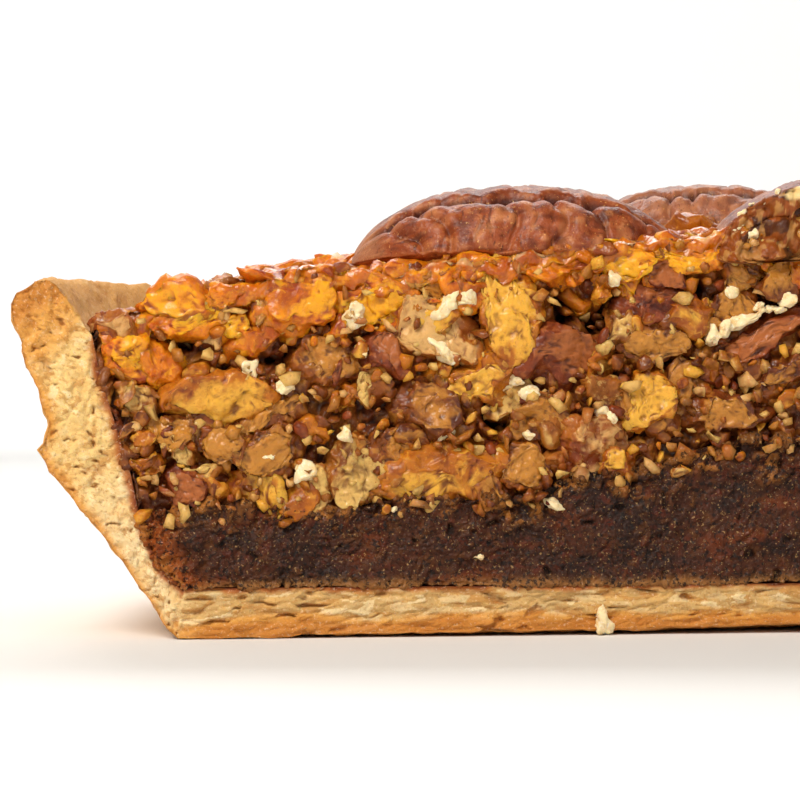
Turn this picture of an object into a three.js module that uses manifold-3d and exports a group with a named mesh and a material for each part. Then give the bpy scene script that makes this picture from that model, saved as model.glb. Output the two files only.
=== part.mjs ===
// One slice, an eighth, of a deep pecan pie: short pastry shell, dark custard, chopped pecans, pecan halves.
// It stands on its base. The cut side that shows faces -Y and the rim is towards -X. Millimetres, +Z up.
// The origin is on the surface it stands on, under the middle of the slice's box.
import * as THREE from "three";
import { mergeVertices } from "three/addons/utils/BufferGeometryUtils.js";
import Module from "manifold-3d";

// Driving dimensions of the pie
const RIM_RADIUS = 115; // a 23 cm pie, over the rim
const SLICE_ANGLE = Math.PI / 4; // one of eight slices
const RIM_HEIGHT = 36;
const FLOOR_THICKNESS = 5.2; // pastry under the filling
const GAP = 0.3; // between layers that touch
const FACET = 0.15; // how far fused faces may be evened out

// The pie's axis, which is the point of the slice, and the plane of the cut that shows
const TIP_X = RIM_RADIUS / 2;
const FRONT_Y = (-RIM_RADIUS * Math.sin(SLICE_ANGLE)) / 2;

// Outside of the shell at the cut: [distance in from the rim, height], from the base corner up to the lip
const OUTER_WALL = [
  [16.4, 0],
  [14.2, 3.2],
  [9.6, 9.6],
  [5.6, 15],
  [2.9, 18.9],
  [3.1, 22.5],
  [1.3, 27.4],
  [0, 32.4],
];
// Inside of the shell, from the lip down to the corner with the pastry floor
const INNER_WALL = [
  [4.8, 35],
  [6.3, 32.6],
  [8.3, 30.2],
  [10.5, 21.4],
  [13, 11.4],
  [14.6, 7.2],
];
const LIP = [
  [0.3, 34.4],
  [1.9, 34.9],
  [3.4, RIM_HEIGHT],
];
const FLOOR_FILLET = 17.2; // where the floor's top becomes level
const WALL_FOOT = 13.5; // where the custard meets the wall

// Heights along the cut, as [distance in from the rim, height]
const CUSTARD_TOP = [
  [8, 13],
  [22, 12.6],
  [40, 13],
  [55, 14.6],
  [70, 18.4],
  [90, 20],
  [115, 20.5],
];
const HEAP_TOP = [
  [7, 29.8],
  [9, 30.6],
  [15, 33.2],
  [22, 35],
  [28, 37],
  [38, 36.8],
  [50, 38.4],
  [62, 39.8],
  [74, 41],
  [95, 42],
  [115, 42.4],
];

// The nut pieces that show best in the cut: [distance in, height, width, height of piece, tilt in degrees]
const CUT_NUTS = {
  big_yellow: [49.6, 33.2, 5.6, 9, -8],
  amber_block: [14.5, 27, 4.8, 6.2, 5],
  pink_eye: [12.8, 23.7, 3.4, 3.2, 0],
  golden_wedge: [20.4, 23.8, 8.8, 5.6, 20],
  amber_nugget: [22.3, 31, 4.2, 3.2, 0],
  amber_slab_left: [29.7, 33, 8.4, 6.2, 15],
  amber_slab_right: [37.1, 33.6, 7.4, 5, -8],
  tan_puzzle: [30.9, 27.4, 6.2, 5.8, -40],
  skin_round: [37.2, 28.8, 5.2, 5.4, 0],
  split_half: [43.2, 30.1, 7.6, 6.6, -25],
  small_bead: [35.4, 25.5, 2.4, 2.6, 0],
  olive_lump: [41.7, 22.6, 7.4, 5.8, 10],
  crumbly_gold: [46.6, 25.8, 8.4, 5, 15],
  cream_block: [33.9, 15.6, 6, 6.6, -15],
  cream_finger: [29.9, 13.8, 2.8, 5, -15],
  gold_bridge: [43.7, 17, 10.8, 5.6, 15],
  cream_chip_high: [17.7, 18.9, 3, 3.4, 0],
  cream_chip_low: [18.9, 16.4, 4.2, 2.6, 8],
  skin_dark: [54.1, 28.1, 8.8, 5.2, -5],
  skin_orange: [64.2, 33.6, 7.6, 4.6, 5],
  skin_slab: [74.8, 29.3, 13.5, 4.2, 33],
  tan_cluster: [72.8, 37.4, 6.2, 3.8, -12],
  grey_beads: [59.7, 24.2, 3.6, 4, 0],
  skin_gold: [57.7, 19.7, 7.4, 4.8, -20],
  gold_lobe: [63.9, 23.5, 4.8, 6.4, 20],
  gold_cube: [61.2, 17.4, 3.6, 4, 0],
  edge_tan: [78, 35.6, 4, 4.2, 0],
  brown_crag: [64.6, 29, 8, 4.4, 0],
  under_slab: [78, 26.6, 4.6, 3.4, 20],
  wall_amber: [11.4, 28.2, 5, 4.2, 0],
  tan_low_left: [25.9, 23, 6, 4.4, 30],
  brown_mid: [53.4, 21.8, 6, 4.6, 0],
  brown_right: [71.2, 22.2, 8, 5, 0],
  tan_mid_low: [25.9, 18.2, 6, 4.4, 0],
};
const CUT_NUT_DEPTH = 7; // how far the largest of them reach behind the cut
const RECESS = 2.4; // the syrupy crumb between the pieces lies this far behind the cut

// Smaller pieces, by a seeded rule
const SMALL_NUT = [3.8, 6]; // sizes in the cuts
const SURFACE_NUT = [5.4, 8.6]; // sizes on top
const CUT_STEP = 7.2; // spacing in the front cut
const BACK_STEP = 8.2; // spacing in the back cut
const SURFACE_STEP = 10; // spacing on top
const SURFACE_SINK = 0.62; // share of a surface piece that is under the syrup
const SEED = 4177;

// Pecan halves: [distance in, distance behind the cut, height of its flat side, length, turn, nose up, roll]
const PECANS = {
  pecan_half_front: [52.2, 9.6, 37.6, 35, 2, 0, -8],
  pecan_half_middle: [74.6, 25.4, 40, 29, 12, 1, -10],
  pecan_half_cut: [84.9, 2.6, 40.1, 30, -4, 8, 4],
  pecan_half_back: [52.6, 43.2, 37.2, 30, 36, 0, 6],
};
const PECAN_WIDTH = 0.52; // of its length
const PECAN_THICKNESS = 0.27; // of its length
const PECAN_RINGS = 18;
const PECAN_SIDES = 14;

const deg = THREE.MathUtils.degToRad;
const wasm = await Module();
wasm.setup();

// A repeatable random number in [0, 1), by the Park-Miller rule
function randomFrom(seed) {
  let state = seed;
  return () => (state = (state * 16807) % 2147483647) / 2147483647;
}

// The value of a piecewise-linear line of [x, y] points at x
function along(line, x) {
  const last = line.length - 1;
  if (x <= line[0][0]) return line[0][1];
  if (x >= line[last][0]) return line[last][1];
  const i = line.findIndex((p) => p[0] > x);
  const [[x0, y0], [x1, y1]] = [line[i - 1], line[i]];
  return y0 + ((y1 - y0) * (x - x0)) / (x1 - x0);
}

// The point at a distance in from the rim, an angle round from the front cut, and a height
function polar(inward, angle, z) {
  const r = RIM_RADIUS - inward;
  return [TIP_X - r * Math.cos(angle), FRONT_Y + r * Math.sin(angle), z];
}

// A closed triangle mesh of positions as a manifold-3d solid
function solidOf(geometry) {
  const bare = new THREE.BufferGeometry().setAttribute("position", geometry.getAttribute("position"));
  if (geometry.index) bare.setIndex(geometry.index);
  const merged = mergeVertices(bare, 1e-4);
  const index = merged.index.array;
  const kept = [];
  for (let i = 0; i < index.length; i += 3) {
    const [a, b, c] = [index[i], index[i + 1], index[i + 2]];
    if (a !== b && b !== c && c !== a) kept.push(a, b, c);
  }
  const vertProperties = new Float32Array(merged.getAttribute("position").array);
  return new wasm.Manifold(new wasm.Mesh({ numProp: 3, vertProperties, triVerts: new Uint32Array(kept) }));
}

// A solid back as a geometry, without the loose scraps that fusing may leave
function geometryOf(solid) {
  const body = solid
    .decompose()
    .sort((a, b) => b.volume() - a.volume())[0]
    .simplify(FACET);
  const mesh = body.getMesh();
  const geometry = new THREE.BufferGeometry();
  geometry.setAttribute("position", new THREE.BufferAttribute(new Float32Array(mesh.vertProperties), 3));
  geometry.setIndex(new THREE.BufferAttribute(new Uint32Array(mesh.triVerts), 1));
  return geometry;
}

// Carries a section round the pie's axis. sectionAt(angle) gives [distance in, height] points, clockwise.
function sweep(sectionAt, steps, from = 0, to = SLICE_ANGLE) {
  const positions = [];
  const index = [];
  const count = sectionAt(0).length;
  for (let s = 0; s <= steps; s++) {
    const angle = from + ((to - from) * s) / steps;
    for (const [inward, z] of sectionAt(angle)) positions.push(...polar(inward, angle, z));
  }
  for (let s = 0; s < steps; s++) {
    for (let i = 0; i < count; i++) {
      const [a, b] = [s * count + i, s * count + ((i + 1) % count)];
      index.push(a, b, b + count, a, b + count, a + count);
    }
  }
  const caps = [from, to].map((angle) => sectionAt(angle).map(([inward, z]) => new THREE.Vector2(inward, z)));
  caps.forEach((outline, end) => {
    const base = end * steps * count;
    for (const [a, b, c] of THREE.ShapeUtils.triangulateShape(outline, [])) {
      const corners = [outline[a], outline[b], outline[c]];
      const follows = THREE.ShapeUtils.area(corners) * THREE.ShapeUtils.area(outline) > 0;
      if (follows === (end === 1)) index.push(base + a, base + b, base + c);
      else index.push(base + a, base + c, base + b);
    }
  });
  const geometry = new THREE.BufferGeometry();
  geometry.setAttribute("position", new THREE.BufferAttribute(new Float32Array(positions), 3));
  geometry.setIndex(index);
  const solid = solidOf(geometry);
  if (solid.volume() > 0) return solid;
  geometry.setIndex(index.map((_, i) => index[i - (i % 3) + ((2 * (i % 3)) % 3)]));
  return solidOf(geometry);
}

// The slice's outline pulled in from both cuts, as a tall prism
function slicePrism(pulledIn) {
  const reach = RIM_RADIUS * 1.2;
  const tipShift = pulledIn / Math.sin(SLICE_ANGLE / 2);
  const tip = [TIP_X - tipShift * Math.cos(SLICE_ANGLE / 2), FRONT_Y + tipShift * Math.sin(SLICE_ANGLE / 2)];
  const shape = new THREE.Shape();
  shape.moveTo(tip[0], tip[1]);
  shape.lineTo(tip[0] - reach * Math.cos(SLICE_ANGLE), tip[1] + reach * Math.sin(SLICE_ANGLE));
  shape.lineTo(tip[0] - reach * 1.2, tip[1] + reach);
  shape.lineTo(tip[0] - reach * 1.2, tip[1]);
  return solidOf(new THREE.ExtrudeGeometry(shape, { depth: 80, bevelEnabled: false }).translate(0, 0, -10));
}

// How uneven the shell is away from the cuts: 0 at both cuts and up to 1 between them
function between(angle) {
  return Math.sin((Math.PI * angle) / SLICE_ANGLE);
}

// Pastry shell: floor, sloping wall with a broken outer skin, rounded lip
function crustSection(angle) {
  const uneven = between(angle);
  const wave = uneven * (0.45 * Math.sin(angle * 19 + 1) + 0.35);
  const sag = 0.9 * (angle / SLICE_ANGLE) ** 2 - 0.55 * uneven;
  const outer = OUTER_WALL.map(([inward, z]) => [
    inward + (z > 0 ? wave + 0.5 * uneven * Math.sin(z * 0.9 + angle * 31) : wave),
    z * (1 - sag / RIM_HEIGHT),
  ]);
  const lip = LIP.map(([inward, z]) => [inward + wave, z - sag]);
  const inner = INNER_WALL.map(([inward, z]) => [inward, z - sag * (z / RIM_HEIGHT)]);
  const floor = [
    [FLOOR_FILLET, FLOOR_THICKNESS],
    [RIM_RADIUS, FLOOR_THICKNESS],
    [RIM_RADIUS, 0],
  ];
  return [...outer, ...lip, ...inner, ...floor];
}

// Distance in from the rim to the filling's side at a height
function fillingSide(z) {
  const wall = [...INNER_WALL].reverse().map(([inward, height]) => [height, inward]);
  return along([[FLOOR_THICKNESS, FLOOR_FILLET], ...wall], z) + GAP * 1.3;
}

// Height of the custard's top, the same all round, and of the heap's, with the dome's slow waves
function custardTop(inward) {
  return along(CUSTARD_TOP, inward) + 0.5 * Math.sin(inward * 0.35);
}
function heapTop(inward, angle) {
  return along(HEAP_TOP, inward) + 0.5 * between(angle) * Math.sin(inward * 0.3 + angle * 14);
}

// Dark set custard between the pastry floor and the nuts
function custardSection() {
  const low = FLOOR_THICKNESS + GAP;
  const stations = [20, 30, 40, 50, 60, 70, 82, 96, RIM_RADIUS];
  const sideTop = custardTop(WALL_FOOT);
  const top = stations.map((inward) => [inward, custardTop(inward)]);
  return [[FLOOR_FILLET + 0.6, low], [fillingSide(9), 9], [fillingSide(sideTop), sideTop], ...top,
    [RIM_RADIUS, low]];
}

// Outer limits of the chopped nuts: over the custard, inside the wall, up to lift above the heap's surface
function heapSection(lift) {
  const stations = [15, 22, 28, 34, 42, 50, 58, 66, 74, 84, 95, RIM_RADIUS];
  const under = [RIM_RADIUS, 96, 82, 70, 60, 50, 40, 30, 20];
  return (angle) => {
    const sideLow = custardTop(WALL_FOOT) + GAP;
    const bottom = under.map((inward) => [inward, custardTop(inward) + GAP]);
    const sides = [[fillingSide(sideLow), sideLow], [fillingSide(21.4), 21.4], [fillingSide(29), 29]];
    const top = stations.map((inward) => [inward, heapTop(inward, angle) + lift]);
    return [...sides, [10.4, heapTop(10.4, angle) + lift * 0.3], ...top, ...bottom];
  };
}

// One chopped piece of nut: a few-sided lump with uneven corners
function nutPiece(width, height, depth, random) {
  const lump = new THREE.IcosahedronGeometry(0.5, 0);
  const bare = mergeVertices(new THREE.BufferGeometry().setAttribute("position", lump.getAttribute("position")));
  const place = bare.getAttribute("position");
  for (let i = 0; i < place.count; i++) {
    const stretch = 0.86 + 0.32 * random();
    place.setXYZ(i, place.getX(i) * stretch, place.getY(i) * stretch, place.getZ(i) * stretch);
  }
  bare.rotateX(random() * 3).rotateZ(random() * 3);
  return bare.scale(width * 1.06, depth * 1.06, height * 1.06);
}

// Puts a piece in a cut plane: its width along the cut, its depth square to it
function placeInCut(piece, inward, z, behind, tilt, backCut) {
  piece.rotateY(deg(-tilt));
  if (!backCut) return piece.translate(TIP_X - RIM_RADIUS + inward, FRONT_Y + behind, z);
  const out = RIM_RADIUS - inward;
  const [c, s] = [Math.cos(SLICE_ANGLE), Math.sin(SLICE_ANGLE)];
  piece.rotateZ(-SLICE_ANGLE);
  return piece.translate(TIP_X - out * c - behind * s, FRONT_Y + out * s - behind * c, z);
}

// The named pieces of the front cut
function namedCutNuts(random) {
  return Object.values(CUT_NUTS).map(([inward, z, width, height, tilt]) => {
    const depth = Math.min(CUT_NUT_DEPTH, 1.2 * Math.min(width, height) + 2);
    const behind = depth * (0.36 + 0.1 * random());
    return solidOf(placeInCut(nutPiece(width, height, depth, random), inward, z, behind, tilt, false));
  });
}

// Small pieces between them, and all over the hidden cut
function ruledCutNuts(random, backCut) {
  const made = [];
  const spacing = backCut ? BACK_STEP : CUT_STEP;
  for (let inward = 11; inward < RIM_RADIUS - 5; inward += spacing) {
    const [low, high] = [custardTop(inward) + 1, heapTop(inward, 0) - 1.2];
    for (let z = low + random() * 2; z < high; z += spacing) {
      const size = SMALL_NUT[0] + random() * (SMALL_NUT[1] - SMALL_NUT[0]);
      const piece = nutPiece(size * 1.2, size, size * 1.5, random);
      const behind = (backCut ? 0.6 : 1.6) + random() * 2;
      const side = inward + (random() - 0.5) * 2.5;
      made.push(solidOf(placeInCut(piece, side, z, behind, random() * 90 - 45, backCut)));
    }
  }
  return made;
}

// Pieces that stand out of the syrup on top
function surfaceNuts(random) {
  const made = [];
  for (let inward = 13.5; inward < RIM_RADIUS - 6; inward += SURFACE_STEP) {
    const arc = (RIM_RADIUS - inward) * SLICE_ANGLE;
    for (let step = SURFACE_STEP * 0.4; step < arc; step += SURFACE_STEP) {
      const size = SURFACE_NUT[0] + random() * (SURFACE_NUT[1] - SURFACE_NUT[0]);
      const piece = nutPiece(size * 1.25, size * 0.8, size, random).rotateZ(random() * 3);
      const angle = (step + (random() - 0.5) * 2) / (RIM_RADIUS - inward);
      const at = inward + (random() - 0.5) * 3;
      const z = heapTop(at, angle) - size * 0.8 * (SURFACE_SINK - 0.5);
      made.push(solidOf(piece.translate(...polar(at, angle, z))));
    }
  }
  return made;
}

// A pecan half, flat side down: a long dome with a furrow on each side of its ridge and fine cross wrinkles.
// Rings run along its length and sides run round it.
function pecanHalf(length) {
  const geometry = new THREE.SphereGeometry(1, PECAN_SIDES, PECAN_RINGS).rotateZ(Math.PI / 2);
  const place = geometry.getAttribute("position");
  for (let i = 0; i < place.count; i++) {
    const [x, y, z] = [place.getX(i), place.getY(i), place.getZ(i)];
    const round = Math.atan2(y, z);
    const furrow = Math.exp(-(((Math.abs(round) - 0.55) / 0.2) ** 2));
    const fullness = Math.sqrt(Math.max(0, y * y + z * z));
    const wrinkle = 1 + 0.035 * Math.sin(x * 17 + 2 * round) * fullness;
    const reach = (1 - 0.17 * furrow * fullness) * wrinkle;
    const blunt = 1 + 0.1 * x;
    const up = z > 0 ? z * PECAN_THICKNESS * 2 * 0.82 : z * PECAN_THICKNESS * 2 * 0.18;
    place.setXYZ(i, (x * length) / 2, (y * reach * blunt * length * PECAN_WIDTH) / 2, (up * reach * length) / 2);
  }
  return geometry;
}

// A half laid on the pie, as wide as it is or with a margin for its seat in the syrup
function laidPecan([inward, behind, z, length, turn, noseUp, roll], margin = 0) {
  const share = 1 + (2 * margin) / (length * PECAN_THICKNESS);
  const geometry = pecanHalf(length).scale(1 + (2 * margin) / length, share, share);
  geometry.rotateX(deg(roll)).rotateY(deg(-noseUp)).rotateZ(deg(-turn));
  geometry.translate(TIP_X - RIM_RADIUS + inward, FRONT_Y + behind, z);
  return solidOf(geometry);
}

// The chopped nuts and syrup: a core behind the cuts with the pieces that show fused on, trimmed to the slice
function choppedNuts(seats) {
  const random = randomFrom(SEED);
  const core = sweep(heapSection(-0.8), 8).intersect(slicePrism(RECESS));
  const pieces = [...namedCutNuts(random), ...ruledCutNuts(random, false), ...ruledCutNuts(random, true),
    ...surfaceNuts(random)];
  const limits = sweep(heapSection(1.9), 8);
  const fused = wasm.Manifold.union([core, ...pieces]).intersect(limits);
  return wasm.Manifold.difference([fused, ...seats]);
}

const finish = (color, roughness) => new THREE.MeshStandardMaterial({ color, roughness, metalness: 0 });
const MATERIALS = {
  pastry: finish(0xdcae62, 0.8),
  custard: finish(0x4a2a17, 0.35),
  nuts: finish(0xb8772a, 0.4),
  pecan: finish(0x8a4526, 0.55),
};

const slice = new THREE.Group();
function addPart(name, geometry, material) {
  const mesh = new THREE.Mesh(geometry, material);
  mesh.name = name;
  slice.add(mesh);
}

const trim = slicePrism(0);
addPart("crust", geometryOf(sweep(crustSection, 12)), MATERIALS.pastry);
addPart("custard", geometryOf(sweep(custardSection, 8)), MATERIALS.custard);
const pecans = Object.entries(PECANS);
const seats = pecans.map(([, pose]) => laidPecan(pose, GAP * 1.6));
addPart("chopped_nuts", geometryOf(choppedNuts(seats)), MATERIALS.nuts);
for (const [name, pose] of pecans) {
  addPart(name, geometryOf(laidPecan(pose).intersect(trim)), MATERIALS.pecan);
}

export default slice;
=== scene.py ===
# %% [markdown]
# # A slice of deep pecan pie
# This lesson dresses one eighth of a pecan pie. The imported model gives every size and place: a short pastry
# shell, a layer of dark custard, a heap of chopped pecans in syrup, and pecan halves on top. Each plain
# solid is replaced by a finer one of the same form, worked out with numpy as whole arrays of points.
# The work is done in millimetres and turned to metres only where a mesh is made.

# %% Load the fixed frame
import math
import bmesh
import bpy
import numpy as np
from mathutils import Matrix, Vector


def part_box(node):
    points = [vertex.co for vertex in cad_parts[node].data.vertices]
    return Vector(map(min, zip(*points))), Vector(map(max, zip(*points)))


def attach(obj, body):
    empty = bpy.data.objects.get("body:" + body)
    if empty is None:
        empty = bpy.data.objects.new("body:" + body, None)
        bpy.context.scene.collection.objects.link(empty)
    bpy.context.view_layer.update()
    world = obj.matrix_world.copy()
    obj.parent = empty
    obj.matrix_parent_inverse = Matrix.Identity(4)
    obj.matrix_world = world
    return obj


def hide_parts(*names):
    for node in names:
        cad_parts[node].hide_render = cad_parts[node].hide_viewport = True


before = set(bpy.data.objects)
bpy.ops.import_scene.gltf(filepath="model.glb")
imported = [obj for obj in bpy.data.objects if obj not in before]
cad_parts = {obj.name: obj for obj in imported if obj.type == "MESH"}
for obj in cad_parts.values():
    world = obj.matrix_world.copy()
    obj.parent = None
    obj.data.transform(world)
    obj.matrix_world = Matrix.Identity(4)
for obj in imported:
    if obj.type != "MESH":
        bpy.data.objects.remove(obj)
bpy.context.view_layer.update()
MM = 0.001  # metres in a millimetre

# %% [markdown]
# The slice is a wedge, so three measures place everything: the pie's radius, the angle of the slice, and the
# point where the two cuts meet. They are read off the crust's box. The front cut is the plane y = FRONT_Y.

# %% Measures of the slice
crust_low, crust_high = (np.array(corner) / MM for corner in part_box("crust"))
RIM_RADIUS = crust_high[0] - crust_low[0]
RIM_HEIGHT = crust_high[2]
TIP_X = crust_high[0]
FRONT_Y = crust_low[1]
SLICE_ANGLE = math.asin(min(1.0, (crust_high[1] - crust_low[1]) / RIM_RADIUS))
print(f"radius {RIM_RADIUS:.1f} mm, height {RIM_HEIGHT:.1f} mm, "
      f"angle {math.degrees(SLICE_ANGLE):.1f} degrees")

# %% [markdown]
# The photo looks almost square at the front cut from a hand's height above the table, with a long lens, so
# lines hardly converge. The camera comes first, so that every later step can be judged through it.

# %% Camera
CAMERA_DISTANCE = 300.0  # from the front cut
CAMERA_TURN = math.radians(6)  # it stands a little to the rim's side and looks towards the point
CAMERA_HEIGHT = 30.0
AIM_INWARD, AIM_HEIGHT = 38.7, 23.8  # the point of the front cut in the middle of the picture
aim = Vector((crust_low[0] + AIM_INWARD, FRONT_Y, AIM_HEIGHT))
eye = Vector((aim.x - CAMERA_DISTANCE * math.sin(CAMERA_TURN),
              aim.y - CAMERA_DISTANCE * math.cos(CAMERA_TURN), CAMERA_HEIGHT))
camera_data = bpy.data.cameras.new("camera")
camera_data.lens = 135
camera_data.sensor_width = 36
camera_data.clip_start = 0.01
camera = bpy.data.objects.new("camera", camera_data)
camera.location = eye * MM
camera.rotation_euler = (aim - eye).to_track_quat("-Z", "Y").to_euler()
bpy.context.collection.objects.link(camera)
bpy.context.scene.camera = camera
print("camera at", tuple(round(v, 4) for v in camera.location))

# %% [markdown]
# Colours are written as sRGB hex, as a designer picks them, and turned to the linear values a renderer
# needs. Every node of every material is added by one helper, which sets values and links sockets.

# %% Helpers for colour and nodes
def linear(hex_colour):
    """sRGB hex to linear: below 0.04045 divide by 12.92, else ((c + 0.055) / 1.055) ** 2.4."""
    srgb = np.array([int(hex_colour[i:i + 2], 16) / 255 for i in (1, 3, 5)])
    light = np.where(srgb <= 0.04045, srgb / 12.92, ((srgb + 0.055) / 1.055) ** 2.4)
    return (*light.tolist(), 1.0)


def add(tree, kind, inputs=(), **settings):
    """Adds a node, sets its properties, and gives each input a value, a hex colour or a link."""
    made = tree.nodes.new("ShaderNode" + kind)
    for name, value in settings.items():
        setattr(made, name, value)
    for key, value in dict(inputs).items():
        if isinstance(value, bpy.types.NodeSocket):
            tree.links.new(value, made.inputs[key])
        else:
            made.inputs[key].default_value = linear(value) if isinstance(value, str) else value
    return made


# %% [markdown]
# A cut pie is stained rather than painted: pale crumb, then browning, then syrup soaked in from one side.
# The material is built the same way. It starts from a base colour and lays stains over it, each let through
# by a mask. A mask is either a value that the mesh carries at each point, such as how deep it is baked, or
# a noise whose grain is given in millimetres. Fine relief and gloss come last.

# %% A food material made of stains
def food(name, base, stains, relief, rough, wet=0.0, wet_rough=0.2, glow=0.0, glow_mm=1.5, ior=1.45):
    """stains: (mask, low, high, hex, strength). mask is an attribute's name, or (grain mm, stretch xyz).
    relief: (grain mm, height mm) of the bumps that are too fine for the mesh.
    wet and wet_rough are the clear coat of syrup or fat; glow and glow_mm say how much light spreads
    inside, and how far."""
    material = bpy.data.materials.new(name)
    material.use_nodes = True
    tree = material.node_tree
    tree.nodes.clear()
    place = add(tree, "TexCoord").outputs["Object"]

    def grain(size, stretch=(1, 1, 1), detail=3.0):
        where = add(tree, "Mapping", {"Vector": place, "Scale": [1 / s for s in stretch]}).outputs[0]
        return add(tree, "TexNoise", {"Vector": where, "Scale": 1 / (size * MM), "Detail": detail,
                                      "Roughness": 0.6}).outputs[0]

    colour = add(tree, "RGB").outputs[0]
    colour.default_value = linear(base)
    for mask, low, high, tint, strength in stains:
        if isinstance(mask, str):
            value = add(tree, "Attribute", attribute_name=mask).outputs["Fac"]
        else:
            value = grain(*mask)
        share = add(tree, "MapRange", {"Value": value, "From Min": low, "From Max": high,
                                       "To Min": 0.0, "To Max": strength}, interpolation_type="SMOOTHSTEP")
        colour = add(tree, "Mix", {0: share.outputs[0], 6: colour, 7: tint}, data_type="RGBA").outputs[2]
    normal = None
    for size, height in relief:
        bump = add(tree, "Bump", {"Height": grain(size, detail=2.0), "Distance": height * MM,
                                  "Strength": 1.0})
        if normal:
            tree.links.new(normal, bump.inputs["Normal"])
        normal = bump.outputs[0]
    shader = add(tree, "BsdfPrincipled", {
        "Base Color": colour, "Roughness": rough, "IOR": ior,
        "Coat Weight": wet, "Coat Roughness": wet_rough, "Coat IOR": 1.47,
        "Subsurface Weight": glow, "Subsurface Radius": (1.0, 0.5, 0.2), "Subsurface Scale": glow_mm * MM})
    if normal:
        tree.links.new(normal, shader.inputs["Normal"])
        tree.links.new(normal, shader.inputs["Coat Normal"])
    add(tree, "OutputMaterial", {"Surface": shader.outputs[0]})
    return material


# %% [markdown]
# Crumb, nut flesh and custard are all uneven at several sizes at once. Gradient noise gives one size of
# unevenness. Its absolute value makes round lumps with sharp creases between them, as in crumbly food.

# %% Noise on arrays of points
def scramble(order, cell):
    """A number from 0 to 255 for each lattice cell, always the same: three look-ups in a shuffled list."""
    return order[(order[(order[cell[..., 0] & 255] + cell[..., 1]) & 255] + cell[..., 2]) & 255]


def noise(points, size, seed=1):
    """Smooth value of about -1 to 1 that changes over size mm. Every corner of a lattice has a random
    direction; the value blends the eight corners' (direction . offset) by the curve 6f^5 - 15f^4 + 10f^3."""
    draw = np.random.default_rng(seed)
    order = draw.permutation(256)
    directions = draw.normal(size=(256, 3))
    directions /= np.linalg.norm(directions, axis=1, keepdims=True)
    scaled = np.asarray(points) / size
    cell = np.floor(scaled).astype(int)
    inside = scaled - cell
    fade = inside ** 3 * (inside * (inside * 6 - 15) + 10)
    total = np.zeros(scaled.shape[:-1])
    for corner in np.ndindex(2, 2, 2):
        at = cell + corner
        key = scramble(order, at)
        weight = np.prod(np.where(corner, fade, 1 - fade), axis=-1)
        total += weight * ((inside - corner) * directions[key]).sum(-1)
    return total * 1.7


def crumble(points, layers, seed=1):
    """Sum of height * (2 |noise| - 0.5) over the (size mm, height mm) layers: lumps with creases."""
    return sum(h * (2 * np.abs(noise(points, s, seed + k)) - 0.5) for k, (s, h) in enumerate(layers))


def rise(value, low, high):
    """0 below low, 1 above high, smooth between: 3x^2 - 2x^3 of the share covered."""
    x = np.clip((value - low) / (high - low), 0, 1)
    return x * x * (3 - 2 * x)


def cells(points, size, seed=1):
    """Every cell of a lattice holds one point at a random place. Returns the distance to the nearest such
    point, as a share of size, and a random value that belongs to it: crumbs, and their tones."""
    draw = np.random.default_rng(seed)
    order, shaken, value = draw.permutation(256), draw.random((256, 3)), draw.random(256)
    scaled = np.asarray(points) / size
    cell = np.floor(scaled).astype(int)
    nearest, tone = np.full(len(scaled), 9.0), np.zeros(len(scaled))
    for step in np.ndindex(3, 3, 3):
        at = cell + step - 1
        key = scramble(order, at)
        apart = np.linalg.norm(at + shaken[key] - scaled, axis=1)
        closer = apart < nearest
        nearest, tone = np.where(closer, apart, nearest), np.where(closer, value[key], tone)
    return nearest, tone


def crumbs(points, layers, seed=1):
    """Sum of height * (1 - (distance / 0.55)^2), not below -0.9 height: round crumbs with sharp gaps."""
    return sum(h * np.maximum(1 - (cells(points, s, seed + k)[0] / 0.55) ** 2, -0.9)
               for k, (s, h) in enumerate(layers))


def wander(points, layers, seed=1):
    """A push in every direction, one noise for each axis: it bends straight outlines into ragged ones."""
    return sum(h * np.stack([noise(points, s, seed + 3 * k + axis) for axis in range(3)], -1)
               for k, (s, h) in enumerate(layers))


# %% [markdown]
# Crust, custard and the heap's core are all bent bricks: a section carried round the pie's axis, with two
# flat cut faces. The cuts are what one looks at, so a brick's two cut faces get a fine grid, and the rest
# a coarser one that is sewn to them with fans of triangles, so that the skin stays closed.

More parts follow.
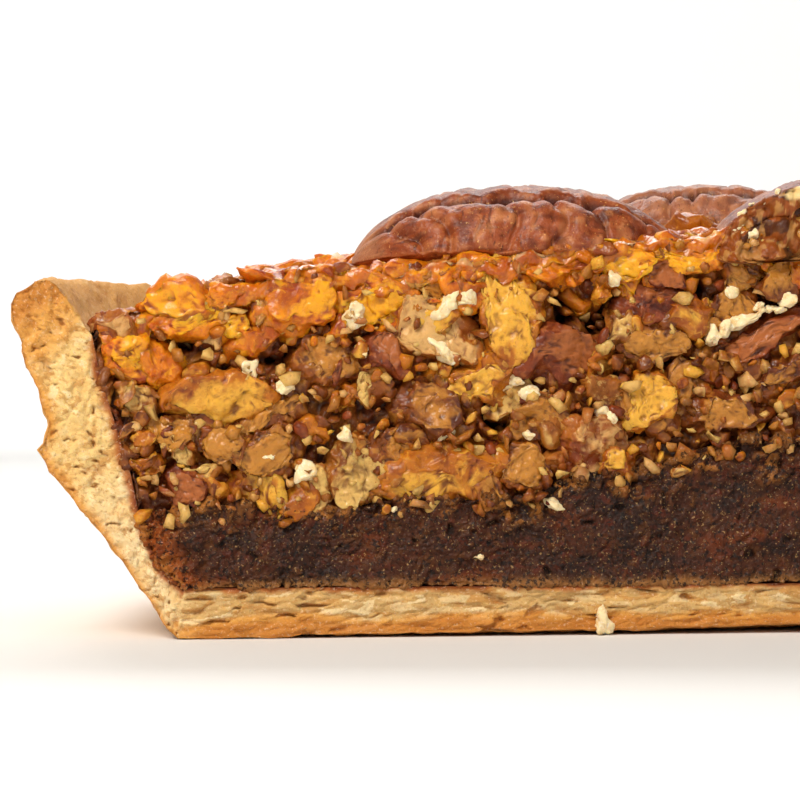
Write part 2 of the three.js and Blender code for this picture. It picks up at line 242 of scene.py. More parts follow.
# %% A closed brick with fine cut faces
def brick(along, across, around, every):
    """Returns (s, t, a), each from 0 to 1, of every point and the triangles of the closed skin. The cut
    faces a = 0 and a = 1 are along x across grids; rings of every-th border point run between them."""
    s, t = np.meshgrid(np.linspace(0, 1, along + 1), np.linspace(0, 1, across + 1), indexing="ij")
    face = np.stack([s.ravel(), t.ravel()], 1)
    i = np.concatenate([np.arange(along), np.full(across, along),
                        np.arange(along, 0, -1), np.zeros(across, int)])
    j = np.concatenate([np.zeros(along, int), np.arange(across),
                        np.full(along, across), np.arange(across, 0, -1)])
    border = i * (across + 1) + j
    coarse = border[::every]
    steps = np.linspace(0, 1, around + 1)[1:-1]
    rings = np.concatenate([np.column_stack([face[coarse], np.full(len(coarse), a)]) for a in steps])
    count, ring = len(face), len(coarse)
    params = np.concatenate([np.column_stack([face, np.zeros(count)]), rings,
                             np.column_stack([face, np.ones(count)])])
    corner = (np.arange(along)[:, None] * (across + 1) + np.arange(across)).ravel()
    quads = np.stack([corner, corner + across + 1, corner + across + 2, corner + 1], 1)
    ring_start = count + np.arange(around - 2)[:, None] * ring
    here, after = np.arange(ring), (np.arange(ring) + 1) % ring
    walls = np.stack([ring_start + here, ring_start + ring + here, ring_start + ring + after,
                      ring_start + after], -1).reshape(-1, 4)
    back = len(params) - count
    pieces = [two(quads), two(quads[:, ::-1] + back), two(walls)]
    for fine, near, flip in ((border, count + here, 1), (border + back, back - ring + here, -1)):
        ends = np.roll(near, -1)
        steps_on = fine[(here[:, None] * every + np.arange(every + 1)) % len(fine)]
        half = every // 2
        fans = [(near, ends, steps_on[:, half])]
        fans += [(near, steps_on[:, m + 1], steps_on[:, m]) for m in range(half)]
        fans += [(ends, steps_on[:, m + 1], steps_on[:, m]) for m in range(half, every)]
        pieces += [np.stack(fan, 1)[:, ::flip] for fan in fans]
    return params.T, np.concatenate(pieces)


def on_cuts(a):
    """1 on the two cut faces, 0 on the skin between them."""
    return ((a == 0) | (a == 1)).astype(float)


def two(quads):
    """Each quad as two triangles."""
    return np.concatenate([quads[:, [0, 1, 2]], quads[:, [0, 2, 3]]])


def outward(points, triangles):
    """The triangles turned so that the enclosed volume, the sum of a . (b x c) / 6, is positive."""
    a, b, c = (points[triangles[:, k]] for k in range(3))
    return triangles if (a * np.cross(b, c)).sum() > 0 else triangles[:, ::-1]


def normals_of(points, triangles):
    """Unit normal at each point: the area-weighted sum of the normals of its triangles."""
    a, b, c = (points[triangles[:, k]] for k in range(3))
    flat = np.cross(b - a, c - a)
    total = np.stack([sum(np.bincount(triangles[:, k], flat[:, axis], len(points)) for k in range(3))
                      for axis in range(3)], 1)
    return total / np.maximum(np.linalg.norm(total, axis=1, keepdims=True), 1e-9)


# %% From arrays to a Blender object
def make_piece(name, points, triangles, material, slot, replaced, **own):
    """Puts points in mm and triangles into a mesh, with its own values at each point for the material."""
    mesh = bpy.data.meshes.new(name)
    mesh.from_pydata(points * MM, [], triangles)
    for label, values in own.items():
        carried = mesh.attributes.new(label, "FLOAT", "POINT")
        carried.data.foreach_set("value", np.ascontiguousarray(values, "f"))
    mesh.materials.append(material)
    mesh.shade_smooth()
    mesh.validate()
    piece = bpy.data.objects.new(name, mesh)
    bpy.context.collection.objects.link(piece)
    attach(piece, "root")
    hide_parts(*replaced)
    print(f"{name}: {len(points)} points, {len(triangles)} triangles")
    return piece


# %% [markdown]
# ## The pastry shell
# Shortcrust is pressed into a tin, so its section is a wall that leans outwards, a flat floor and a blunt
# lip. Where it is cut the crumb shows: pale and pitted, flaky in the floor, golden under the skin. The
# section is two lines, outside and inside, from the lip to the point of the slice.

# %% Lines of the section
OUTER_WALL = [(1.7, 34.8), (0.5, 34.4), (0.0, 33.3), (0.2, 31.6), (0.9, 30.4), (1.3, 27.4), (2.7, 24.9),
              (3.2, 22.6), (3.8, 21.7), (3.4, 19.9), (2.7, 18.9), (3.8, 16.7), (5.4, 15.0), (6.9, 12.9),
              (8.6, 11.0), (9.8, 9.3), (11.1, 7.6), (12.4, 5.5), (14.1, 3.4), (15.0, 1.6), (16.4, 0.0)]
INNER_WALL = [(4.6, 35.3), (5.6, 34.0), (6.4, 32.5), (8.2, 30.3), (8.9, 26.6), (10.5, 21.4), (12.0, 16.4),
              (13.0, 11.4), (14.6, 7.4), (17.2, 5.2)]  # both lists: (in from the rim, height)
WALL_LENGTH, SECTION_LENGTH = 40.0, 138.0  # of the wall, and of wall and floor together
TIP_GAP = 0.15  # the point of the slice is rounded off this far from the axis
SHELL_THICKNESS = [(0, 7.6), (10, 8), (40, 6), (44, 5.2), (138, 5.2)]  # (along the section, thickness)
FLOOR_LIFT = [(26, 0), (29, 0.3), (55, 0.45), (79, 1.0), (100, 0.9), (115, 0.6)]  # (in from the rim, lift)


def line(points, at):
    """(inward, height) at a distance from the lip, along the wall's points and then straight to the tip."""
    points = np.array(points)
    steps = np.concatenate([[0], np.cumsum(np.linalg.norm(np.diff(points, axis=0), axis=1))])
    stations = np.append(steps / steps[-1] * WALL_LENGTH, SECTION_LENGTH)
    ends = np.vstack([points, (RIM_RADIUS - TIP_GAP, points[-1, 1])])
    return np.interp(at, stations, ends[:, 0]), np.interp(at, stations, ends[:, 1])


def swept(inward, height, angle):
    """Points carried round the pie's axis: x = tip - r cos(angle), y = front + r sin(angle)."""
    radius = RIM_RADIUS - inward
    return np.stack(np.broadcast_arrays(TIP_X - radius * np.cos(angle), FRONT_Y + radius * np.sin(angle),
                                        height), -1)


def inward_of(points):
    """How far in from the rim points are: the pie's radius less their distance from its axis."""
    return RIM_RADIUS - np.hypot(points[:, 0] - TIP_X, points[:, 1] - FRONT_Y)


# %% The shell's form and crumb
def crust_points(s, t, a):
    """t blends the outside line into the inside one. Between the cuts the wall wanders in and out by half
    a millimetre and the lip rises and sags, as pressed pastry does; the lip is rounded by t (1 - t). Along
    the front cut the floor's edge stands FLOOR_LIFT off the table, fading over 5 mm behind it."""
    along, uneven = s * SECTION_LENGTH, np.sin(np.pi * a)
    angle = a * SLICE_ANGLE
    sag = 0.9 * a ** 2 - 0.55 * uneven
    wave = uneven * (0.45 * np.sin(19 * angle + 1) + 0.35)
    (out_u, out_z), (in_u, in_z) = line(OUTER_WALL, along), line(INNER_WALL, along)
    ripple = 0.5 * uneven * np.sin(out_z * 0.9 + 31 * angle) * (out_z > 0.1)
    inward = (out_u + wave + ripple) * (1 - t) + in_u * t
    height = (out_z * (1 - t) + in_z * t) * (1 - sag / RIM_HEIGHT)
    height = height + 3.2 * t * (1 - t) * np.exp(-along / 1.6)
    front = (RIM_RADIUS - inward) * np.sin(angle)
    lifted = np.interp(inward, *zip(*FLOOR_LIFT))
    height = height + (1 - t) * lifted * np.exp(-front / 5) * (along > WALL_LENGTH)
    return swept(inward, height, angle), along


(s, t, a), crust_faces = brick(along=700, across=36, around=72, every=4)
crust, along = crust_points(s, t, a)
crust_faces = outward(crust, crust_faces)
thick = np.interp(along, *zip(*SHELL_THICKNESS))
in_cut = on_cuts(a)
hidden = (t == 1) & (along > 6)
floor = rise(along, 36, 44)
flaky = crust * np.where(floor[:, None] > 0.5, (0.35, 1, 1.25), (1, 1, 1))
ragged = flaky + wander(flaky, [(2.2, 0.7), (0.8, 0.3)], 15)
crumb = crumbs(ragged, [(1.2, 0.24), (0.65, 0.2)], 11) + crumble(ragged, [(2.4, 0.4), (0.5, 0.2)], 16)
crumb = crumb + 0.3 * noise(crust, 5, 14)
crumb_tone = cells(ragged, 0.65, 12)[1]
pits = rise(noise(ragged, 0.8, 21) + 0.3 * noise(crust, 6, 22), 0.45, 0.75)
edge = np.minimum(1, 4.5 * np.minimum(t, 1 - t) + 0.25)
shift = in_cut * edge * (0.6 * crumb - 0.6 * pits) + (1 - in_cut) * (0.4 * crumb + 0.1)
shift = np.where(hidden, 0.0, shift)
crust = crust + normals_of(crust, crust_faces) * (shift - 0.12)[:, None]
crust[:, 2] = np.clip(crust[:, 2], 0.02, RIM_HEIGHT)

# %% [markdown]
# How brown the crumb is depends on how near the oven's heat it was: most at the lip and the skin, and from
# below in the floor. Syrup soaks a dark line into the side that holds the filling. These depths are in
# millimetres from the surfaces, so they are worked out from the same t and s as the form. The wall's
# outside is browned less in its middle than at the lip and the foot, and the inner side of the lip, which
# stands above the filling, is crisp instead of soaked.

# %% Baking and soaking of the shell
patchy = 0.5 + 0.5 * noise(crust, 3.2, 31)
skin_depth = t * thick
soak_depth = (1 - t) * thick
baked = np.exp(-skin_depth / (0.5 + 0.9 * patchy)) * (1 - 0.15 * floor)
outside = (1 - in_cut) * (1 - floor) * rise(-t, -0.5, 0)
paler = 0.75 - 0.5 * patchy - 0.25 * rise(-along, -14, -4) - 0.3 * rise(along, 30, 40)
baked = baked * (1 - outside * paler)
lip_baked = rise(-along - 0.55 * skin_depth + 3.0 * noise(crust, 4, 32), -13.5, -2)
lip_baked = lip_baked * (0.62 + 0.38 * in_cut)
floor_baked = floor * rise(-skin_depth + 0.9 * noise(flaky, 2.6, 33), -2.9, -0.6)
crisp = 0.5 * np.exp(-soak_depth / 0.8) * rise(-along, -9, -6) * (1 - in_cut)
bake = np.clip(np.max([baked, 0.95 * lip_baked, floor_baked, crisp], axis=0), 0, 1)
soak_reach = np.where(floor > 0.5, 0.6, np.interp(along, [0, 12, 38], [0.7, 0.9, 1.3]))
soak = np.exp(-soak_depth / soak_reach) * (0.85 + 0.5 * noise(crust, 1.8, 34)) * rise(along, 6, 8.5)
soak = np.clip(soak, 0, 1)
# Painted shade: the crumb's pits and low spots are browned as if shaded
dip = np.clip(np.maximum(pits, rise(-crumb, 0.05, 0.6) * 0.9) * in_cut, 0, 1)
butter = rise(noise(crust, 6, 35) + 0.5 * noise(crust, 1.6, 36), 0.0, 0.8)
butter = butter * rise(along, 14, 18) * (1 - floor) * np.exp(-skin_depth / 1.6)

# Shortcrust pastry, rolled and blind baked: matte, pale crumb, browned and slightly shiny where fat fried it
pastry = food("baked_shortcrust", "#ecc780", [
    ("pale", 0.0, 1.0, "#f4dcae", 0.7),
    ("floor", 0.2, 1.0, "#b88f58", 0.7),
    ((2.4, (1, 1, 1)), 0.42, 0.66, "#e2b064", 0.6),
    ("tone", 0.25, 0.0, "#d8a252", 0.55),
    ("tone", 0.65, 1.0, "#fbe6b4", 0.6),
    ("bake", 0.12, 0.6, "#dc963a", 0.8),
    ("bake", 0.55, 1.0, "#b05c08", 0.5),
    ("butter", 0.1, 0.8, "#f4b430", 0.6),
    ("tone", 0.2, 0.1, "#a05a1c", 0.3),
    # Painted shade in the pits and low crumbs, a light brown
    ("dip", 0.2, 0.95, "#a86420", 0.55),
    ("soak", 0.15, 0.5, "#a4500f", 0.85),
    ("soak", 0.4, 0.75, "#702603", 0.85),
    ((0.3, (1, 1, 1)), 0.56, 0.7, "#fff0cf", 0.3),
    ((0.28, (1, 1, 1)), 0.44, 0.34, "#b87430", 0.45),
], relief=[(0.45, 0.16), (0.2, 0.09)], rough=0.75, glow=0.12, glow_mm=0.7, ior=1.38)
make_piece("pastry_shell", crust, crust_faces, pastry, "pastry", ["crust"], bake=bake, soak=soak, dip=dip,
           butter=butter, tone=crumb_tone, floor=floor * in_cut, pale=rise(along, 16, 34) * (1 - floor))

# %% [markdown]
# ## The custard
# Under the nuts lies a layer of dark sugar custard, wet and close, with the smears that a knife leaves. It
# takes colour from its neighbours: redder beside the wall, tan where it meets the pastry floor. Its brick
# follows the wall's slope, and its top is the height that the solid has.

# %% The custard's form
FLOOR_TOP = INNER_WALL[-1][1]
CUSTARD_EDGE = 13.5  # in from the rim, where the custard meets the wall
CUSTARD_TOP = [(8, 13), (22, 12.6), (40, 13), (55, 14.6), (70, 18.4), (90, 20), (115, 20.5)]
HEAP_TOP = [(7, 29.8), (9, 30.6), (15, 33.2), (22, 35), (28, 37), (38, 36.8), (50, 38.4), (62, 39.8),
            (74, 41), (95, 42), (115, 42.4)]


def wall_at(height):
    """How far in from the rim the shell's inner side is at a height."""
    side = np.array(INNER_WALL)[::-1]
    return np.interp(height, side[:, 1], side[:, 0])


def custard_top(inward):
    """Height of the custard's top: the measured line with a slow wave of half a millimetre."""
    return np.interp(inward, *zip(*CUSTARD_TOP)) + 0.5 * np.sin(inward * 0.35)


def custard_points(s, t, a):
    """s runs from the wall to the tip and t from the pastry floor to the top. The sides reach half a
    millimetre into the pastry, so no gap shows."""
    level = custard_top(CUSTARD_EDGE + s * (RIM_RADIUS - CUSTARD_EDGE)) + 0.6
    height = FLOOR_TOP - 0.15 + t * (level - FLOOR_TOP)
    side = wall_at(height) - 0.5
    return swept(side + s * (RIM_RADIUS - TIP_GAP - side), height, a * SLICE_ANGLE)


(s, t, a), custard_faces = brick(along=560, across=72, around=24, every=4)
custard = custard_points(s, t, a)
custard_faces = outward(custard, custard_faces)
in_cut = on_cuts(a)
smears = noise(custard * (0.5, 1, 1), 3.2, 41)
ragged = custard + wander(custard, [(2.4, 0.8)], 42)
lumpy = rise(t + 0.3 * noise(custard, 4.0, 48), 0.5, 1.0)
by_wall = np.exp(-s * (RIM_RADIUS - 14) / 5)
coarse = np.maximum(lumpy, by_wall)
grainy = crumble(ragged, [(1.1, 0.24), (0.5, 0.18)], 43)
grainy = grainy + coarse * crumbs(ragged, [(2.2, 0.6), (0.9, 0.3)], 44)
crumb_tone = coarse * cells(ragged, 0.9, 45)[1]
holes = rise(noise(ragged, 1.5, 45), 0.5, 0.8)
shift = in_cut * (0.45 * smears + grainy - 0.5 * holes - 0.1)
custard = custard + normals_of(custard, custard_faces) * shift[:, None]

# %% The custard's colour and gloss
near_wall = np.exp(-(inward_of(custard) - wall_at(custard[:, 2])) / 3.2)
red = np.clip(near_wall + 0.35 * noise(custard, 3, 47) * np.exp(-(custard[:, 2] - FLOOR_TOP) / 4), 0, 1)
floor_stain = np.clip(np.exp(-(custard[:, 2] - FLOOR_TOP) / 0.8) * (1 + 0.5 * noise(custard, 3, 46)), 0, 1)
nutty = lumpy * rise(grainy, -0.2, 0.6)

# Baked brown sugar custard, set and cut: nearly black where thick, with a fine wet sparkle, helped by light
# specks painted as glints
custard_finish = food("set_sugar_custard", "#421a00", [
    ((3.5, (2, 1, 1)), 0.45, 0.65, "#200800", 0.8),
    ((1.2, (1.4, 1, 1)), 0.5, 0.68, "#5e3206", 0.6),
    ((5.0, (1.6, 1, 0.7)), 0.54, 0.66, "#743002", 0.5),
    ("nutty", 0.1, 0.7, "#7c480e", 0.75),
    ("red", 0.15, 0.8, "#964608", 0.85),
    ("tone", 0.45, 0.8, "#ac6a26", 0.75),
    ((1.5, (1, 1, 1)), 0.54, 0.66, "#5c1c00", 0.5),
    ("floor_stain", 0.2, 0.9, "#986430", 0.85),
    # Painted shade: the custard's holes are painted nearly black
    ("dip", 0.3, 1.0, "#120500", 0.7),
    ((0.5, (1, 1, 1)), 0.48, 0.38, "#100400", 0.85),
    # Painted highlight: fine light specks stand in for glints on the wet custard
    ((0.3, (1, 1, 1)), 0.6, 0.7, "#b48c56", 0.7),
], relief=[(0.45, 0.24), (0.24, 0.14)], rough=0.85, wet=0.32, wet_rough=0.05, ior=1.33)
make_piece("custard_layer", custard, custard_faces, custard_finish, "custard", ["custard"],
           red=red, floor_stain=floor_stain, nutty=nutty, tone=crumb_tone, dip=holes * in_cut)

# %% [markdown]
# ## The heap of chopped pecans
# The filling is thousands of chopped pieces stuck together with syrup. Only those at the two cuts and on top
# can be seen, so they lie on a core: a brick whose cuts stand back a little, as crumbly as the finest
# pieces, with the dark hollows that the knife left between them.

# %% The core of the heap
HEAP_EDGE = 11  # in from the rim, where the heap meets the wall
RECESS = 1.4  # how far the core's cuts stand behind the slice's cuts
HOLLOW_DEPTH = 3.4  # how much deeper the hollows go
HOLLOWS = [  # dark gaps in the front cut: (inward, height, width, height of the gap)
    (57.0, 32.8, 7.5, 6.5), (77.5, 32.8, 7.0, 4.4), (30.0, 32.2, 6.5, 3.0), (45.6, 14.0, 6.6, 2.4),
    (55.2, 36.9, 3.6, 2.2), (44.0, 36.6, 4.4, 2.6), (39.4, 23.6, 3.0, 2.6), (50.8, 26.4, 3.6, 2.8),
    (24.5, 21.0, 4.4, 2.0), (66.0, 37.4, 3.6, 2.2), (28.2, 28.4, 4.6, 2.6), (46.9, 31.0, 2.8, 2.4),
    (17.4, 30.0, 2.6, 3.0), (67.6, 27.2, 3.6, 2.4), (53.0, 19.0, 4.4, 2.4), (63.0, 20.4, 2.8, 1.6),
    (40.8, 34.0, 2.6, 2.2), (50.3, 30.3, 2.0, 3.4), (69.8, 35.0, 3.0, 2.4), (48.6, 21.8, 3.0, 1.8)]


def heap_top(inward, angle):
    """Height of the heap's top: the measured line with slow waves between the cuts."""
    waves = 0.5 * np.sin(np.pi * angle / SLICE_ANGLE) * np.sin(inward * 0.3 + angle * 14)
    return np.interp(inward, *zip(*HEAP_TOP)) + waves


def in_hollow(inward, height):
    """1 in the middle of a hollow of the front cut, 0 outside: the largest of 1 - (dx^2 + dz^2), with the
    place first pushed about by noise so that the hollows have ragged edges."""
    where = np.stack([inward, 0 * inward, height], -1)
    where = where + wander(where, [(3.0, 1.5), (1.3, 0.7)], 57)
    gaps = np.array(HOLLOWS)
    dx = (where[..., 0, None] - gaps[:, 0]) / (gaps[:, 2] / 2)
    dz = (where[..., 2, None] - gaps[:, 1]) / (gaps[:, 3] / 2)
    return np.clip(1 - (dx ** 2 + dz ** 2), 0, 1).max(-1)


def core_points(s, t, a):
    """s runs from the wall to near the tip, t from the custard to the top. At a radius r the cut that
    stands back by RECESS begins at the angle asin(RECESS / r); close to the wall it stands back less, so
    that no gap shows there."""
    near_tip = RECESS / math.sin(SLICE_ANGLE / 2) * 1.04
    nominal = HEAP_EDGE + s * (RIM_RADIUS - HEAP_EDGE - near_tip)
    low = custard_top(nominal) - 0.5
    high = heap_top(nominal, a * SLICE_ANGLE) - 0.9
    height = low + t * (high - low)
    side = wall_at(height) - 0.4
    inward = side + s * (RIM_RADIUS - near_tip - side)
    recess = 0.2 + (RECESS - 0.2) * rise(s, 0.005, 0.03)
    start = np.arcsin(np.clip(recess / (RIM_RADIUS - inward), 0, math.sin(SLICE_ANGLE / 2)))
    return swept(inward, height, start + a * (SLICE_ANGLE - 2 * start))


(s, t, a), core_faces = brick(along=440, across=100, around=24, every=4)
core = core_points(s, t, a)
core_faces = outward(core, core_faces)
in_cut = on_cuts(a)
gap_here = in_hollow(core[:, 0] - crust_low[0], core[:, 2]) * (a == 0)
ragged = core + wander(core, [(3.5, 1.2), (1.4, 0.4)], 50)
crumb_tone = 0.6 * cells(ragged, 1.5, 53)[1] + 0.4 * cells(ragged, 3.2, 52)[1]
lumpy = crumbs(ragged, [(3.2, 0.75), (1.5, 0.45), (0.8, 0.22)], 52) + crumble(ragged, [(0.45, 0.1)], 56)
shift = in_cut * (lumpy - 0.2) + (1 - in_cut) * 0.45 * lumpy
core = core + normals_of(core, core_faces) * shift[:, None]
core[:, 1] += HOLLOW_DEPTH * rise(gap_here, 0.0, 0.7)
# Shade painted into the core's colour, with gathered syrup: in its low crumbs and most in the hollows
core_deep = np.clip(0.8 * rise(-lumpy, -0.35, 0.9) + 0.75 * rise(gap_here, 0.1, 0.7), 0, 1)

# Fine nut crumb bound with syrup: tan on the crumbs, wet all over, and dark toffee brown in the gaps, with
# shade painted darker still there and in the hollows
core_finish = food("syrupy_nut_crumb", "#804208", [
    ("tone", 0.4, 0.2, "#501c00", 0.85),
    ("tone", 0.55, 0.75, "#ac6c20", 0.8),
    ("tone", 0.76, 0.9, "#ba8030", 0.8),
    ((3.4, (1, 1, 1)), 0.54, 0.66, "#803204", 0.65),
    ((0.6, (1, 1, 1)), 0.52, 0.7, "#602a04", 0.5),
    ((0.35, (1, 1, 1)), 0.6, 0.72, "#dcae62", 0.4),
    # Painted shade, with gathered syrup, in the low crumbs and the hollows
    ("deep", 0.3, 0.75, "#300c00", 0.8),
    ("deep", 0.75, 1.0, "#180400", 0.85),
], relief=[(0.5, 0.12), (0.22, 0.06)], rough=0.7, wet=0.5, wet_rough=0.06, glow=0.1, glow_mm=1.0, ior=1.33)
make_piece("nut_crumb_core", core, core_faces, core_finish, "nuts", ["chopped_nuts"],
           deep=core_deep, tone=crumb_tone)

# %% [markdown]
# ### One recipe for every chopped piece
# A chopped piece of pecan is a lump with a few flat breaks and blunt edges. A sphere of directions becomes
# such a lump when each direction is stopped by the nearest of some random planes; summing the planes with a
# high power instead of taking the nearest one rounds the edges. Many lumps are made in one array. What
# would stand out of a cut is pressed back to it, which gives the face that the knife leaves, and how much
# was pressed back tells the material where the pale flesh shows. A knife breaks pecans more than it slices
# them, so each face stands a little higher or lower than its neighbours, and is rough.

# %% Lumps, and the knife's cuts
def sphere(level):
    """Directions and triangles of an icosphere."""
    ball = bmesh.new()
    bmesh.ops.create_icosphere(ball, subdivisions=level, radius=1)
    directions = np.array([v.co for v in ball.verts])
    triangles = np.array([[v.index for v in f.verts] for f in ball.faces])
    ball.free()
    return directions, triangles


def behind_cuts(points):
    """Depth behind the front cut and behind the back cut, in mm."""
    front = points[..., 1] - FRONT_Y
    back = -(points[..., 0] - TIP_X) * math.sin(SLICE_ANGLE) - front * math.cos(SLICE_ANGLE)
    return front, back


def knife(points, plane, relief):
    """Presses what stands nearer to a cut than plane back to it, in mm behind the cut. The pressed face
    keeps a slight dome and gets the relief. Returns the points and how much each was pressed."""
    front, back = behind_cuts(points)
    pressed = []
    for depth, inwards in ((front, (0, 1, 0)), (back, (-math.sin(SLICE_ANGLE), -math.cos(SLICE_ANGLE), 0))):
        over = np.clip(plane - depth, 0, None)
        push = over - (0.25 * (1 - np.exp(-over)) + relief * rise(over, 0, 0.5)) * (over > 0)
        points = points + push[..., None] * np.array(inwards)
        pressed.append(over)
    return points, np.maximum(*pressed)


def lumps(level, centres, sizes, turns, seed, rough=1.0, facets=9, power=8, cut=True):
    """One lump per centre, size (along, behind, up) and turn in the cut's plane. The reach in a direction is
    (sum over planes of (facing / distance) ** power) ** (-1 / power). The lump is then bent, covered with
    crumb, and cut. Each is cut at a plane of its own that leans a little, so neighbours meet in steps.
    rough scales the bending; below 1 it stands for the large pieces, whose cut flesh is clear in the
    middle. Lumps with cut=False lie on the cut face whole, and each has a paleness of its own."""
    draw = np.random.default_rng(seed)
    directions, triangles = sphere(level)
    count = len(centres)
    planes = draw.normal(size=(count, facets, 3))
    planes /= np.linalg.norm(planes, axis=2, keepdims=True)
    distance = draw.uniform(0.66, 1.0, (count, 1, facets))
    facing = np.clip(np.einsum("vk,pfk->pvf", directions, planes), 0, None) / distance
    reach = ((facing ** power).sum(2) + 0.8 ** power) ** (-1 / power)
    shape = directions * reach[..., None] * (np.asarray(sizes) / 2)[:, None, :]
    c, n = np.cos(turns)[:, None], np.sin(turns)[:, None]
    shape = np.stack([shape[..., 0] * c - shape[..., 2] * n, shape[..., 1],
                      shape[..., 0] * n + shape[..., 2] * c], -1).reshape(-1, 3)
    each = np.repeat(np.arange(count), len(directions))
    out = np.tile(directions, (count, 1))
    points = shape + np.asarray(centres)[each]
    small = (rough * np.minimum(np.mean(sizes, axis=1) / 5, 1) ** 0.6)[each]
    points = points + wander(points, [(3.6, 1.2), (1.5, 0.6), (0.7, 0.22)], seed) * small[:, None]
    grit = crumble(points, [(1.3, 0.34), (0.55, 0.2)], seed) + 0.3 * noise(points, 2.4, seed + 9)
    points = points + out * (grit * small)[:, None]
    lean = draw.normal(0, 0.16, (count, 2))[each]
    plane = draw.uniform(-0.7, 0.7, count)[each] * small + (lean * shape[:, [0, 2]]).sum(1)
    loose = points + wander(points, [(1.5, 0.5), (0.6, 0.2)], seed + 2)
    fine = crumbs(loose, [(1.1, 0.16), (0.55, 0.13)], seed + 4)
    relief = (0.35 * noise(points, 2.2, seed + 6) + fine) * np.minimum(1, small * 1.5)
    points, pressed = knife(points, np.clip(plane, -0.9, 1.6) if cut else -2.0, relief)
    whole = (triangles + len(directions) * np.arange(count)[:, None, None]).reshape(-1, 3)
    own = {"skin": (out * draw.normal(size=(count, 3))[each]).sum(1) + 0.4 * noise(points, 2.5, seed + 5),
           "tint": draw.random(count)[each],
           "flesh": pressed if cut else 1.3 * draw.random(count)[each],
           "tone": cells(loose, 0.8, seed + 7)[1],
           "clear": rise(pressed, 0.2, 2.6) * (rough < 1),
           # Painted shade: the low spots of the grit, and of the crumb on a cut face
           "gap": rise(-(grit + 3 * fine * (pressed > 0)), 0.0, 0.6)}
    return points, whole, own


# %% [markdown]
# ### Six kinds of nut
# In the cut one sees six kinds: golden flesh, tan flesh dulled by custard, cream flesh that stayed dry,
# amber pieces soaked clear with syrup near the top, brown skin, and split pieces with both. Each kind has
# its own finish and is one object of many lumps. The list gives those that show best, so that the slice has
# the pattern of the real one: (inward, height, width, height of the piece, turn in degrees, kind).

# %% The pieces that show best
CUT_NUTS = [
    (49.6, 33.2, 5.8, 9.2, -8, "golden"), (14.5, 27, 4.8, 6.2, 5, "amber"),
    (12.8, 23.7, 3.4, 3.2, 0, "cream"), (20.4, 23.8, 8.8, 5.6, 20, "golden"),
    (22.3, 31, 4.2, 3.2, 0, "amber"), (29.7, 33.2, 8.8, 6.0, 15, "amber"),
    (37.1, 34, 7.8, 4.8, -8, "amber"), (30.9, 27.4, 6.2, 5.8, -40, "tan"),
    (37.2, 28.8, 5.2, 5.4, 0, "skin"), (43.2, 30.1, 7.6, 6.6, -25, "split"),
    (35.4, 25.5, 2.4, 2.6, 0, "cream"), (41.7, 22.6, 7.4, 5.8, 10, "tan"),
    (46.6, 25.8, 8.4, 5, 15, "golden"), (33.9, 15.6, 6, 6.6, -15, "cream"),
    (29.9, 13.8, 2.8, 5, -15, "cream"), (43.7, 17, 10.8, 5.6, 15, "golden"),
    (17.7, 18.9, 3, 3.4, 0, "cream"), (18.9, 16.4, 4.2, 2.6, 8, "cream"),
    (54.1, 28.1, 8.8, 5.2, -5, "skin"), (64.2, 33.6, 7.6, 4.6, 5, "skin"),
    (74.8, 29.3, 13.5, 4.2, 33, "skin"), (72.8, 37.4, 6.2, 3.8, -12, "tan"),
    (59.7, 24.2, 3.6, 4, 0, "cream"), (57.7, 19.7, 7.4, 4.8, -20, "split"),
    (63.9, 23.5, 4.8, 6.4, 20, "golden"), (61.2, 17.4, 3.6, 4, 0, "golden"), (78, 35.6, 4, 4.2, 0, "tan"),
    (59.6, 34.8, 2.2, 2.6, 0, "golden"), (64.6, 29, 8, 4.4, 0, "tan"), (78, 26.6, 4.6, 3.4, 20, "tan"),
    (21.9, 34.0, 5.6, 2.4, 12, "amber"), (11.4, 28.2, 5, 4.2, 0, "amber"),
    (16.4, 32.0, 8, 3.2, 15, "amber"), (25.9, 23, 6, 4.4, 30, "tan"), (53.4, 21.8, 6, 4.6, 0, "tan"),
    (71.2, 22.2, 8, 5, 0, "tan"), (50.8, 16.7, 5, 4, 0, "tan"), (25.9, 18.2, 6, 4.4, 0, "tan"),
    (54.5, 37.0, 6.5, 3.0, 8, "amber"), (61.5, 37.8, 8.0, 3.2, 6, "amber"),
    (69.5, 38.4, 7.5, 3.0, 8, "amber"), (47.0, 36.6, 5.0, 2.6, 10, "amber"),
    (41.5, 35.2, 4.4, 3.6, 0, "tan"), (66.5, 36.2, 3.4, 3.4, 0, "skin"), (72.5, 33.8, 4.6, 4.0, 20, "tan"),
    (69.6, 31.2, 4.4, 3.8, 0, "tan"), (15.4, 21.0, 5.4, 3.4, 0, "tan"), (37.6, 19.0, 4.6, 3.6, 10, "tan"),
    (21.6, 19.6, 4.0, 3.6, 0, "tan"), (17.5, 15.0, 5.4, 3.4, 0, "skin"),
    (85.5, 30.5, 7.0, 5.0, -20, "golden"), (92.0, 34.0, 6.0, 5.0, 15, "tan"),
    (84.0, 24.5, 6.5, 5.0, 10, "skin"), (96.5, 27.0, 7.5, 5.5, 25, "golden"),
    (90.0, 23.0, 5.0, 4.0, 0, "cream"), (78.0, 40.4, 5.5, 4.6, 0, "tan"), (83.5, 39.6, 6, 4.0, 0, "tan"),
    (102.0, 33.0, 5.5, 6.0, 0, "tan"), (101.5, 24.0, 6.0, 4.5, -30, "tan")]
KINDS = ["golden", "tan", "cream", "amber", "skin", "split"]


def cut_centres(inward, height, behind, back_cut=False):
    """Places in a cut: a distance in from the rim, a height, and how far behind the cut."""
    inward, height, behind = map(np.asarray, (inward, height, behind))
    if not back_cut:
        return np.stack([crust_low[0] + inward, FRONT_Y + behind, height], -1)
    out, c, n = RIM_RADIUS - inward, math.cos(SLICE_ANGLE), math.sin(SLICE_ANGLE)
    return np.stack([TIP_X - out * c - behind * n, FRONT_Y + out * n - behind * c, height], -1)


